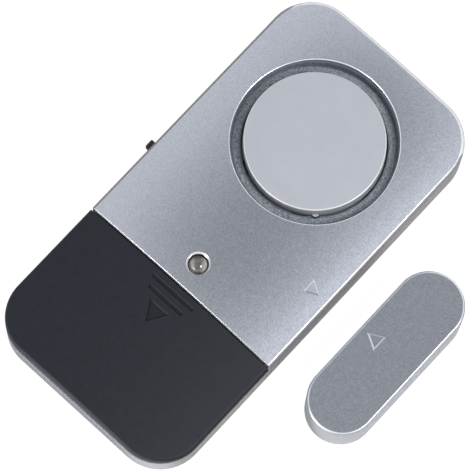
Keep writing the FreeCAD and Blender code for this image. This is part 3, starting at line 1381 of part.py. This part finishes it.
def build_magnet_unit():
    """Round-ended cap over a bar magnet, closed by a plate with tape on its back."""
    cover = new_body("magnet_cover")
    spot = {"x": MAGNET_X, "y": MAGNET_Y}
    outline = new_sketch(cover, "outline", **spot)
    draw_slot(outline, "magnet_width", "magnet_length")
    pad(outline, "magnet_thickness")
    soften(cover, "Fillet", "Z", size("magnet_thickness"), "magnet_round")
    soften(cover, "Chamfer", "Z", 0.0, "seam_chamfer")
    hollow = new_sketch(cover, "hollow", **spot)
    draw_slot(hollow, "magnet_width - 2 * magnet_wall", "magnet_length - 2 * magnet_wall")
    pocket(hollow, "magnet_thickness - magnet_wall", upward=True)
    for side in (-1, 1):
        rib = new_sketch(cover, f"rib_{side + 1}", x=MAGNET_X, z="base_thickness + bar_gap",
                         y=f"{MAGNET_Y} + {side} * (bar_length / 2 + bar_gap + rib_thickness / 2)")
        draw_rectangle(rib, "magnet_width - 2 * magnet_wall + rib_thickness / 2", "rib_thickness")
        pad(rib, "magnet_thickness - magnet_wall / 2 - base_thickness - bar_gap")
        stop = new_sketch(cover, f"stop_{side + 1}", x=f"{MAGNET_X} + {side} * bar_width / 4",
                          y=MAGNET_Y, z="base_thickness + bar_height + bar_gap")
        draw_rectangle(stop, "rib_thickness", "bar_length * 0.8")
        pad(stop, "magnet_thickness - magnet_wall / 2 - base_thickness - bar_height - bar_gap")
    mark = new_sketch(cover, "mark",
                      x=f"{MAGNET_X} - magnet_width / 2 + magnet_mark_inset + magnet_mark_length",
                      y=f"{MAGNET_Y} + magnet_mark_shift", z="magnet_thickness", turn=180)
    draw_triangle(mark, "magnet_mark_width", "magnet_mark_length")
    pad(mark, "mark_rise")
    soften(cover, "Chamfer", "Z", size("magnet_thickness") + size("mark_rise"), "mark_bevel")

    base = new_body("magnet_base")
    plate = new_sketch(base, "outline", **spot)
    draw_slot(plate, "magnet_width - 2 * magnet_wall - 2 * base_gap",
              "magnet_length - 2 * magnet_wall - 2 * base_gap")
    pad(plate, "base_thickness")
    recess = new_sketch(base, "tape_recess", **spot)
    draw_rounded(recess, "magnet_tape_width + 2 * tape_gap", "magnet_tape_length + 2 * tape_gap",
                 "tape_corner")
    pocket(recess, "tape_thickness", upward=True)

    bar = box("bar_magnet", "bar_width", "bar_length", "bar_height", MAGNET_X, MAGNET_Y,
              "base_thickness")
    tape = new_body("magnet_tape")
    strip = new_sketch(tape, "outline", **spot)
    draw_rounded(strip, "magnet_tape_width", "magnet_tape_length", "tape_corner")
    pad(strip, "tape_thickness")
    return [cover, base, bar, tape]


nodes = [build_rear_case(), build_front_shell(), build_battery_cover()]
nodes += build_sounder()
nodes.append(build_board())
nodes += build_reed_switch()
nodes += build_slide_switch()
nodes += build_lamp()
nodes += build_chip()
nodes += build_coil()
nodes += build_small_parts()
nodes += build_cells()
nodes += build_contacts()
nodes += build_wires()
nodes += build_screws()
nodes += build_tape()
nodes += build_magnet_unit()
doc.recompute()

for item in doc.Objects:
    if "Invalid" in item.State or "Error" in item.State:
        raise RuntimeError(f"{item.Name} failed: {item.State}")
    if item.TypeId in ("PartDesign::Pocket", "PartDesign::Groove"):
        before = item.BaseFeature.Shape.Volume
        if before - item.Shape.Volume < 1e-4:
            raise RuntimeError(f"{item.Name} cuts nothing")

os.makedirs("parts", exist_ok=True)
for node in nodes:
    if node.Shape.isNull() or not node.Shape.isValid():
        raise RuntimeError(f"{node.Label} has no valid shape")
    node.Shape.exportStep(f"parts/{node.Label}.step")
print(f"{len(nodes)} nodes written")
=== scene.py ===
import math

import bpy
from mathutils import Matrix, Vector

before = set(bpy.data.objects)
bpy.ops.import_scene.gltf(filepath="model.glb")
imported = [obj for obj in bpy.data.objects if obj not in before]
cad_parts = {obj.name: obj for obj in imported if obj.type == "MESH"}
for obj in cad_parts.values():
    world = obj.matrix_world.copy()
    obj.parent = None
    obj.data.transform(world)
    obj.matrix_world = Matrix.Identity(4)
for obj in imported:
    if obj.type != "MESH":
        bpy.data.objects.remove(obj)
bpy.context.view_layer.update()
MM = 0.001

# Camera
# It looks down on the two units from their front, a little from the battery end and from the
# magnet's side, through a long lens that nearly flattens the view.
camera = bpy.data.cameras.new("camera")
camera.sensor_width = 36.0
camera.lens = 269.95
camera.clip_start = 0.01
camera_object = bpy.data.objects.new("camera", camera)
camera_object.location = (0.096541, -0.126272, 0.653695)
camera_object.rotation_euler = [math.radians(turn) for turn in (13.66674, -1.22763, 42.49938)]
bpy.context.collection.objects.link(camera_object)
bpy.context.scene.camera = camera_object
bpy.context.scene.view_settings.view_transform = "Standard"


# World and floor
# A white room with a dimmer patch overhead, where the camera's side of the tent is: gloss finds
# the patch on flat faces and plain white at every edge. The floor keeps a faint shadow.
class Socket:
    """A shader socket, or a number, that maths can be written with."""

    def __init__(self, graph, value):
        self.graph = graph
        self.value = value

    def combine(self, operation, *others):
        values = [self.value] + [other.value if isinstance(other, Socket) else other for other in others]
        return self.graph.node("ShaderNodeMath", {"operation": operation}, dict(enumerate(values)))

    def __add__(self, other):
        return self.combine("ADD", other)

    def __radd__(self, other):
        return self.combine("ADD", other)

    def __sub__(self, other):
        return self.combine("SUBTRACT", other)

    def __rsub__(self, other):
        return Socket(self.graph, other).combine("SUBTRACT", self)

    def __mul__(self, other):
        return self.combine("MULTIPLY", other)

    def __truediv__(self, other):
        return self.combine("DIVIDE", other)

    def __pow__(self, other):
        return self.combine("POWER", other)

    def larger(self, other):
        return self.combine("MAXIMUM", other)

    def smaller(self, other):
        return self.combine("MINIMUM", other)

    def size(self):
        return self.combine("ABSOLUTE")

    def above(self, edge, width):
        """0 below the edge, 1 above it, with a straight slope of this width between."""
        return self.graph.node("ShaderNodeMapRange", {"clamp": True},
                               {0: self.value, 1: edge - width / 2, 2: edge + width / 2, 3: 0.0, 4: 1.0})


class Graph:
    """The node tree of a material or world."""

    def __init__(self, owner):
        owner.use_nodes = True
        self.tree = owner.node_tree
        self.tree.nodes.clear()

    def node(self, kind, settings=None, inputs=None, output=0):
        item = self.tree.nodes.new(kind)
        for name, value in (settings or {}).items():
            setattr(item, name, value)
        for name, value in (inputs or {}).items():
            value = value.value if isinstance(value, Socket) else value
            if isinstance(value, bpy.types.NodeSocket):
                self.tree.links.new(value, item.inputs[name])
            else:
                item.inputs[name].default_value = value
        return Socket(self, item.outputs[output]) if item.outputs else item

    def seen_white(self):
        """1 for rays from the camera, from gloss and through glass, 0 for the light itself."""
        camera_ray, glossy_ray, clear_ray = (self.node("ShaderNodeLightPath", output=name) for name in
                                             ("Is Camera Ray", "Is Glossy Ray", "Is Transmission Ray"))
        return camera_ray.larger(glossy_ray).larger(clear_ray)


world = bpy.data.worlds.new("white_room")
bpy.context.scene.world = world
sky = Graph(world)
SKY_STRENGTH = 0.15
CEILING_DIMMED = 0.8
PATCH_X, PATCH_WIDTH = -0.07, 0.4
PATCH_Y, PATCH_DEPTH = 0.19, 0.28
WHITE = (1.0, 1.0, 1.0, 1.0)
direction = sky.node("ShaderNodeSeparateXYZ", inputs={0: sky.node("ShaderNodeTexCoord", output="Generated")})
toward = {name: Socket(sky, direction.value.node.outputs[name]) for name in "XYZ"}
off_middle = ((toward["X"] - PATCH_X) / PATCH_WIDTH) ** 2.0 + ((toward["Y"] - PATCH_Y) / PATCH_DEPTH) ** 2.0
overhead = (1 - off_middle).above(0.45, 0.9) * toward["Z"].above(0.5, 0.1)
gloss_seen = sky.node("ShaderNodeLightPath", output="Is Glossy Ray")
white_seen = sky.seen_white()
seen = white_seen * (1 - gloss_seen * overhead * CEILING_DIMMED)
background = sky.node("ShaderNodeBackground", inputs={
    "Color": WHITE, "Strength": seen + (1 - white_seen) * SKY_STRENGTH})
sky.node("ShaderNodeOutputWorld", inputs={"Surface": background})

FLOOR_HALF = 3.0
FLOOR_DROP = 0.05 * MM
corners = [(x * FLOOR_HALF, y * FLOOR_HALF, -FLOOR_DROP) for x, y in ((-1, -1), (1, -1), (1, 1), (-1, 1))]
floor_mesh = bpy.data.meshes.new("floor")
floor_mesh.from_pydata(corners, [], [(0, 1, 2, 3)])
floor = bpy.data.objects.new("floor", floor_mesh)
bpy.context.collection.objects.link(floor)
floor_paint = bpy.data.materials.new("white_floor")
ground = Graph(floor_paint)
SHADOW_SHARE = 0.3
FLOOR_GLOW = 1.32
lit = ground.node("ShaderNodeBsdfDiffuse", inputs={"Color": (0.96, 0.96, 0.96, 1.0)})
glow = ground.node("ShaderNodeEmission", inputs={"Color": WHITE, "Strength": FLOOR_GLOW})
glow_share = ground.node("ShaderNodeLightPath", output="Is Camera Ray") * (1 - SHADOW_SHARE)
mixed = ground.node("ShaderNodeMixShader", inputs={0: glow_share, 1: lit, 2: glow})
ground.node("ShaderNodeOutputMaterial", inputs={"Surface": mixed})
floor.data.materials.append(floor_paint)


# Lamps
# One soft box stands high on the magnet's side and one low in front of the battery end; they miss
# the flat faces' mirror direction and brighten what leans towards them: edges, bow and walls.
def soft_box(name, bearing, height, distance, side, power):
    """An area lamp on this bearing from +X and height above the floor, in degrees, facing the middle."""
    lamp = bpy.data.lights.new(name, "AREA")
    lamp.shape = "SQUARE"
    lamp.size = side
    lamp.energy = power
    lamp_object = bpy.data.objects.new(name, lamp)
    turn, rise = math.radians(bearing), math.radians(height)
    level = math.cos(rise)
    place = Vector((math.cos(turn) * level, math.sin(turn) * level, math.sin(rise))) * distance
    lamp_object.location = place
    lamp_object.rotation_euler = place.to_track_quat("Z", "Y").to_euler()
    lamp_object.visible_camera = False
    bpy.context.collection.objects.link(lamp_object)


soft_box("box_right", bearing=15, height=55, distance=1.0, side=0.28, power=5.2)
soft_box("box_front", bearing=258, height=22, distance=1.0, side=0.35, power=3.6)


# Silver paint of the shells
# The front shell, the case behind it and both halves of the magnet's case are moulded plastic
# with a satin aluminium paint. Shade is painted on it: darker in the shell's recess, at its mark's foot and
# on the long side walls. Bevels and rounded edges carry a painted highlight, and the case is painted
# darker and duller where it faces up, on its rim and within.
def tone(red, green, blue):
    """A colour given as it shows on a screen, 0 to 255, as the shader's linear values."""
    return tuple((c / 12.92 if c <= 0.04045 else ((c + 0.055) / 1.055) ** 2.4)
                 for c in (red / 255, green / 255, blue / 255)) + (1.0,)


class Finish(Graph):
    """A material on one or more nodes, with its patterns in the object's own coordinates."""

    def __init__(self, name):
        self.material = bpy.data.materials.new(name)
        super().__init__(self.material)
        self.place = self.node("ShaderNodeTexCoord", output="Object")

    def axis(self, name):
        """One coordinate of the place, in metres."""
        return self.node("ShaderNodeSeparateXYZ", inputs={0: self.place}, output=name)

    def facing(self, name):
        """How far the surface faces along one axis: 1 towards it, 0 across, -1 away."""
        normal = self.node("ShaderNodeNewGeometry", output="Normal")
        return self.node("ShaderNodeSeparateXYZ", inputs={0: normal}, output=name)

    def stretched(self, x, y, z):
        """The place with its axes scaled, for grain that runs one way."""
        return self.node("ShaderNodeVectorMath", {"operation": "MULTIPLY"}, {0: self.place, 1: (x, y, z)})

    def noise(self, grain, detail=2.0, place=None):
        """Soft noise from 0 to 1, mostly 0.3 to 0.7, with blotches about one grain wide."""
        return self.node("ShaderNodeTexNoise", inputs={
            "Vector": place or self.place, "Scale": 1 / grain, "Detail": detail})

    def cells(self, grain, output="Color"):
        """Cells about one grain wide: a random colour in each, or the distance from its middle."""
        inputs = {"Vector": self.place, "Scale": 1 / grain}
        return self.node("ShaderNodeTexVoronoi", inputs=inputs, output=output)

    def flecks(self, grain):
        """A random number from 0 to 1 in each cell, for paint flakes."""
        return self.node("ShaderNodeSeparateColor", inputs={0: self.cells(grain)}, output=0)

    def shades(self, factor, dark, light):
        """The colour from dark at factor 0 to light at 1."""
        return self.node("ShaderNodeMix", {"data_type": "RGBA"}, {0: factor, 6: dark, 7: light}, output=2)

    def relief(self, height):
        """The normal of a surface raised by this height, in metres."""
        return self.node("ShaderNodeBump", inputs={"Height": height, "Strength": 1.0, "Distance": 1.0})

    def shell(self, **values):
        """The surface, with a value or link for each named socket of the shader."""
        sockets = {name.replace("_", " ").title().replace("Ior", "IOR"): value for name, value in values.items()}
        surface = self.node("ShaderNodeBsdfPrincipled", inputs=sockets)
        self.node("ShaderNodeOutputMaterial", inputs={"Surface": surface})
        return self.material


def dress(finish, *names):
    """Gives CAD nodes their material."""
    for name in names:
        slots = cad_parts[name].data.materials
        slots.clear()
        slots.append(finish)


FLAKE = 0.14 * MM
MOTTLE = 1.4 * MM
PEEL = 0.35 * MM
PEEL_HEIGHT = 0.5e-6


def silver_paint(name, fleck, darkened=None, painted_highlight=None, height=None):
    """Aluminium paint: fine flakes, a soft mottle and an orange peel.

    The flakes stand out by the share called fleck. Where the first mask is 1 the paint is darker and
    duller, and near black where it is 2: painted shade. Where the second mask is 1 it is painted near white,
    a painted highlight. On the shell and case the long side walls are painted darker as shade.
    Upright walls are painted less blue, standing in for the neutral floor they reflect.
    """
    paint = Finish(name)
    flakes = paint.flecks(FLAKE)
    mottle = paint.noise(MOTTLE)
    peel = paint.noise(PEEL) * PEEL_HEIGHT
    sides = shaded_side_walls(paint)
    pattern = (flakes - 0.5) * fleck + (mottle - 0.5) * 0.2 + 0.5
    tint = paint.shades(pattern, tone(179, 184, 196), tone(205, 210, 222))
    # Upright walls are painted less blue, standing in for the neutral floor they reflect.
    reflection_tinted_walls = 1 - paint.facing("Z").size().above(0.25, 0.2)
    tint = paint.shades(reflection_tinted_walls, tint, paint.shades(pattern, tone(188, 190, 196), tone(203, 205, 211)))
    matt = sides
    if darkened:
        shade_depth = darkened(paint)
        matt = sides.larger(shade_depth.smaller(1.0) * 0.7)
        # Darker grey where the mask is 1 and near black where it is 2: painted shade in the shell's recess and
        # at its mark's foot; on the case, darker paint on faces that look up.
        tint = paint.shades(shade_depth, tint, paint.shades(flakes, tone(98, 104, 114), tone(194, 201, 213)))
        tint = paint.shades(shade_depth - 1, tint, tone(62, 66, 76))
        # The long side walls of the shell and case are painted darker as shade.
        tint = paint.shades(sides, tint, paint.shades(flakes, tone(143, 142, 144), tone(169, 168, 170)))
    # Bevels and rounded edges are painted near white as a highlight.
    if painted_highlight:
        tint = paint.shades(painted_highlight(paint), tint, tone(252, 253, 255))
    return paint.shell(
        base_color=tint, metallic=0.85 - matt * 0.65,
        roughness=0.23 + mottle * 0.015 + flakes * 0.03 + matt * 0.16,
        normal=paint.relief(peel + height(paint) if height else peel))


RING_X = -0.32 * MM
RING_Y = 22.3 * MM
RING_RADIUS = 16.1 * MM
MARK_X = 18.6 * MM
MARK_Y = 0.87 * MM
MARK_RADIUS = 2.6 * MM


def distance(paint, x, y):
    """How far the place is from an upright axis at this x and y."""
    return ((paint.axis("X") - x) ** 2.0 + (paint.axis("Y") - y) ** 2.0) ** 0.5


def shaded_side_walls(paint):
    """1 on the long side walls, fading out round the corners, where the paint is made duller and, on the shell
    and case, painted darker as shade.
    """
    turned = 1 - paint.facing("Y").size().above(0.5, 0.8)
    outside = paint.axis("X").size().above(21.0 * MM, 2.0 * MM)
    return paint.facing("X").size().above(0.3, 0.14) * turned * outside


def mark_foot_shade(paint):
    """1 on the mark's lower bevel, which is painted darker as shade."""
    beside = distance(paint, MARK_X, MARK_Y).above(MARK_RADIUS, 0.2 * MM)
    return (1 - beside) * (0 - paint.facing("Y")).above(0.35, 0.2)


def recess_shade(paint):
    """Painted shade: 1 on the recess's floor and at the mark's foot, more on the recess's wall and beside the
    disc.
    """
    reach = distance(paint, RING_X, RING_Y)
    recess = (1 - reach.above(RING_RADIUS, 0.1 * MM)) * (1 - paint.axis("Z").above(8.6 * MM, 1.0 * MM))
    beside_disc = 1 - reach.above(14.3 * MM, 0.4 * MM)
    on_wall = reach.above(15.5 * MM, 0.3 * MM)
    return (recess * (1 + (beside_disc * 0.7 + on_wall * 0.5))).larger(mark_foot_shade(paint))


def edge_highlight(paint):
    """0.8 on bevels and rounded edges, which are painted near white as a highlight, but not along the sides."""
    tilt = paint.facing("Z")
    sloping = tilt.above(0.3, 0.1) * (1 - tilt.above(0.955, 0.03))
    along_sides = paint.axis("X").size().above(21.6 * MM, 0.2 * MM) * paint.facing("X").size().above(0.3, 0.2)
    return sloping * (1 - along_sides) * (1 - mark_foot_shade(paint)) * 0.8


FACE_MIDDLE = 13.0 * MM
FACE_HALF = 29.0 * MM
END_DROP = 0.4 * MM


def end_bow(paint):
    """The face also falls away a little towards its two ends, by the fourth power of the way there."""
    along = (paint.axis("Y") - FACE_MIDDLE).size() / FACE_HALF
    return (along ** 4.0) * -END_DROP


def case_darker_faces(paint):
    """1 where the case faces up, on its rim and within, where it is painted darker and duller, and on its side
    walls, where the darker colour is painted shade.
    """
    return shaded_side_walls(paint).larger(paint.facing("Z").above(0.25, 0.2))


dress(silver_paint("shell_silver", 0.8, recess_shade, edge_highlight, end_bow), "front_shell")
dress(silver_paint("case_silver", 0.5, case_darker_faces), "rear_case", "magnet_base")
dress(silver_paint("magnet_silver", 0.55, None, edge_highlight), "magnet_cover")


# Sounder disc
# The round cap over the sounder is painted lighter and smoother than the shell. Its rim carries a painted
# highlight, its upright wall is painted a neutral grey that stands in for what it reflects, and its flange,
# seen down the gap round it, is painted near black as shade.
cap = Finish("disc_silver")
cap_flakes = cap.flecks(0.09 * MM)
cap_mottle = cap.noise(3.0 * MM)
cap_tint = cap.shades(cap_flakes * 0.5 + cap_mottle * 0.5, tone(198, 202, 211), tone(206, 210, 219))
cap_tilt = cap.facing("Z")
# The rounded rim is painted near white as a highlight.
cap_rim_highlight = cap_tilt.above(0.5, 0.2) * (1 - cap_tilt.above(0.96, 0.03))
cap_tint = cap.shades(cap_rim_highlight * 0.8, cap_tint, tone(250, 250, 252))
# The disc's upright wall is painted a neutral grey, standing in for what it reflects.
cap_tint = cap.shades((1 - cap_tilt.above(0.4, 0.2)) * 0.8, cap_tint, tone(190, 190, 193))
# The flange, seen down the gap round the disc, is painted near black as shade.
cap_outside = distance(cap, RING_X, RING_Y).above(13.8 * MM, 0.1 * MM)
cap_gap_shade = cap_outside * (1 - cap.axis("Z").above(6.4 * MM, 0.2 * MM))
dress(cap.shell(base_color=cap.shades(cap_gap_shade, cap_tint, tone(24, 27, 34)),
                metallic=0.4 - cap_gap_shade * 0.4, roughness=0.42 + cap_mottle * 0.08,
                normal=cap.relief(cap.noise(0.4 * MM) * 0.6e-6)), "sounder_cap")


# Battery cover
# A sliding cover of black plastic with a fine spark-eroded texture and a little dust. The floors
# of its sunk signs are painted darker as shade, and faces that lean towards the battery end, the signs'
# slopes among them, are painted lighter as a highlight.
FACE_TOP = 10.0 * MM
FACE_FALL = 3.67
cover = Finish("cover_plastic")
cover_grain = cover.noise(0.22 * MM, 3.0)
cover_cloud = cover.noise(1.6 * MM)
dust = cover.cells(1.1 * MM, "Distance")
specks = (1 - dust.above(0.05, 0.04)) * cover.noise(4.0 * MM).above(0.5, 0.1)
crown = FACE_TOP - (cover.axis("X") ** 2.0) * FACE_FALL
# The floors of the sunk signs are painted darker as shade.
sunk_shade = (crown - cover.axis("Z")).above(0.28 * MM, 0.1 * MM) * cover.facing("Z").above(0.9, 0.1)
# Faces leaning towards the battery end are painted lighter as a highlight.
slope_highlight = (0 - cover.facing("Y")).above(0.55, 0.4)
cover_pattern = cover_grain * 0.5 + cover_cloud * 0.25 + specks * 0.7
cover_tint = cover.shades(cover_pattern, tone(2, 5, 12), tone(52, 57, 68))
cover_tint = cover.shades(sunk_shade * 0.75, cover_tint, tone(12, 14, 19))
dress(cover.shell(
    base_color=cover.shades(slope_highlight * 0.5, cover_tint, tone(96, 100, 108)),
    roughness=0.46 + cover_grain * 0.16, IOR=1.36, normal=cover.relief(cover_grain * 7e-6)), "battery_cover")


# Indicator lens and lamp
# A polished smoked dome stands in its hole, and the red lamp under it shows only faintly. Two lighter bands
# across the dome, over a random haze, are a painted reflection.
LENS_X = -0.37 * MM
LENS_Y = -10.3 * MM
LENS_RADIUS = 1.9 * MM
lens = Finish("smoked_lens")
across = ((lens.axis("X") - LENS_X) * 0.74 + (lens.axis("Y") - LENS_Y) * 0.67) / LENS_RADIUS
lens_reach = distance(lens, LENS_X, LENS_Y) / LENS_RADIUS
# Two lighter bands across the dome are a painted reflection, with a random haze over them.
lens_reflection_bands = across.size().above(0.45, 0.5) * (1 - lens_reach.above(0.9, 0.16))
lens_reflection_tint = lens_reflection_bands * 0.7 + (lens.noise(0.8 * MM) - 0.35) * 0.7
dress(lens.shell(base_color=lens.shades(lens_reflection_tint, tone(88, 82, 79), tone(214, 210, 206)),
                 roughness=0.08 + lens_reflection_tint * 0.06, coat_weight=0.6, coat_roughness=0.05), "indicator_lens")
lamp = Finish("lamp_red")
lamp_haze = lamp.noise(0.8 * MM)
dress(lamp.shell(base_color=lamp.shades(lamp_haze, tone(180, 32, 26), tone(206, 44, 34)),
                 roughness=0.12 + lamp_haze * 0.08), "indicator_lamp")


# Black mouldings
# The switch's slider and base, the chip, the transistor and the coil's core are black, from
# satin nylon to matt epoxy and ferrite.
def grained(name, dark, light, rough, grain):
    """Plastic, ceramic or rubber with a fine grain."""
    body = Finish(name)
    speck = body.noise(grain, 3.0)
    return body.shell(base_color=body.shades(speck, dark, light), roughness=rough + speck * 0.12,
                      normal=body.relief(speck * (grain * 0.02)))


dress(grained("switch_black", tone(26, 27, 30), tone(38, 39, 42), 0.32, 0.2 * MM),
      "switch_knob", "switch_base")
dress(grained("chip_epoxy", tone(28, 29, 31), tone(40, 41, 43), 0.55, 0.12 * MM),
      "alarm_chip", "driver_transistor", "coil_core")
dress(grained("resistor_black", tone(22, 22, 24), tone(34, 34, 36), 0.45, 0.15 * MM),
      "chip_resistor_1", "chip_resistor_2", "chip_resistor_3", "chip_resistor_4")


# Circuit board
# Green solder mask over glass cloth: the weave shows faintly, and copper tracks under the mask
# read as a lighter green.
board = Finish("board_green")
CLOTH_WAVE = math.tau / (0.9 * MM)
weave = (board.axis("X") * CLOTH_WAVE).combine("SINE") * (board.axis("Y") * CLOTH_WAVE).combine("SINE")
track = board.node("ShaderNodeTexBrick", {"offset": 0.5}, {
    "Vector": board.place, "Scale": 1 / (3.0 * MM), "Mortar Size": 0.06, "Brick Width": 2.4,
    "Row Height": 0.8}, output="Fac")
dress(board.shell(base_color=board.shades(track * 0.7 + weave * 0.06, tone(20, 82, 50), tone(52, 124, 74)),
                  roughness=0.3 + board.noise(2.0 * MM) * 0.1, coat_weight=0.3, coat_roughness=0.15,
                  normal=board.relief(track * 25e-6 + weave * 4e-6)), "circuit_board")


# Sounder's plate, piezo ceramic
# A rolled brass disc carries the ceramic, whose fired silver electrode is matt and off white.
brass = Finish("brass_sheet")
roll = brass.noise(0.3 * MM, 3.0, brass.stretched(1.0, 0.04, 1.0))
dress(brass.shell(base_color=brass.shades(roll, tone(190, 158, 92), tone(222, 192, 122)), metallic=1.0,
                  roughness=0.26 + roll * 0.16), "piezo_plate")
ceramic = Finish("ceramic_white")
fired = ceramic.noise(0.5 * MM, 3.0)
dress(ceramic.shell(base_color=ceramic.shades(fired, tone(214, 210, 198), tone(236, 233, 222)),
                    roughness=0.5 + fired * 0.2), "piezo_ceramic")


# Reed switch
# Two plated blades in a thin glass tube, which stays clear at its middle.
glass = Finish("clear_glass")
seed = glass.noise(1.0 * MM)
dress(glass.shell(base_color=glass.shades(seed, tone(206, 222, 214), tone(226, 240, 232)),
                  roughness=0.02 + seed * 0.04, transmission_weight=0.9, IOR=1.47), "reed_glass")


# Plated metal
# Contacts, clips and legs are stamped from nickel-plated sheet, the cells have drawn steel cups,
# and the screws are zinc plated.
def plated(name, dark, light, rough, grain, along):
    """Metal with drawing lines that run along one axis."""
    metal = Finish(name)
    line = metal.noise(grain, 3.0, metal.stretched(*along))
    cloud = metal.noise(3.0 * MM)
    return metal.shell(base_color=metal.shades(line * 0.6 + cloud * 0.4, dark, light), metallic=1.0,
                       roughness=rough + line * 0.1 + cloud * 0.06,
                       normal=metal.relief(line * (grain * 0.01)))


dress(plated("plated_steel", tone(172, 174, 176), tone(206, 207, 208), 0.22, 0.12 * MM, (0.08, 1.0, 1.0)),
      "reed_blades", "switch_frame", "switch_pins", "lamp_legs", "chip_legs", "negative_contact", "cell_link",
      "positive_contact", "cover_link")
dress(plated("cell_steel", tone(184, 186, 190), tone(214, 215, 218), 0.16, 0.15 * MM, (1.0, 1.0, 0.1)),
      "coin_cell_left", "coin_cell_middle", "coin_cell_right")
dress(plated("zinc_screw", tone(166, 170, 176), tone(200, 202, 206), 0.3, 0.1 * MM, (1.0, 1.0, 1.0)),
      "case_screws")


# Coil winding
# Enamelled copper wire in level turns, one above the other.
wire = Finish("copper_wire")
turns = (wire.axis("Z") * (math.tau / (0.16 * MM))).combine("SINE") * 0.5 + 0.5
dress(wire.shell(base_color=wire.shades(turns, tone(120, 56, 24), tone(202, 112, 62)), metallic=0.9,
                 roughness=0.24 + turns * 0.1, coat_weight=0.5, coat_roughness=0.1,
                 normal=wire.relief(turns * 30e-6)), "coil_winding")


# Small capacitors, leads and magnet
# Tan ceramic blocks, silicone sleeves and a sintered bar.
dress(grained("capacitor_tan", tone(156, 122, 88), tone(184, 148, 110), 0.4, 0.2 * MM),
      "chip_capacitor_1", "chip_capacitor_2")
dress(grained("red_sleeve", tone(168, 24, 22), tone(196, 36, 30), 0.35, 0.3 * MM),
      "battery_lead_red", "piezo_lead_red")
dress(grained("black_sleeve", tone(24, 24, 26), tone(40, 40, 42), 0.35, 0.3 * MM),
      "battery_lead_black", "piezo_lead_black")
dress(grained("magnet_grey", tone(68, 68, 72), tone(92, 92, 96), 0.5, 0.15 * MM), "bar_magnet")


# Mounting tapes
# White closed-cell foam, sticky on both faces, on the back of each unit.
foam = Finish("foam_tape")
bubbles = foam.cells(0.25 * MM, "Distance")
dress(foam.shell(base_color=foam.shades(bubbles, tone(222, 222, 218), tone(244, 244, 240)),
                 roughness=0.75 + bubbles * 0.15, normal=foam.relief(bubbles * 40e-6)),
      "mounting_tape", "magnet_tape")
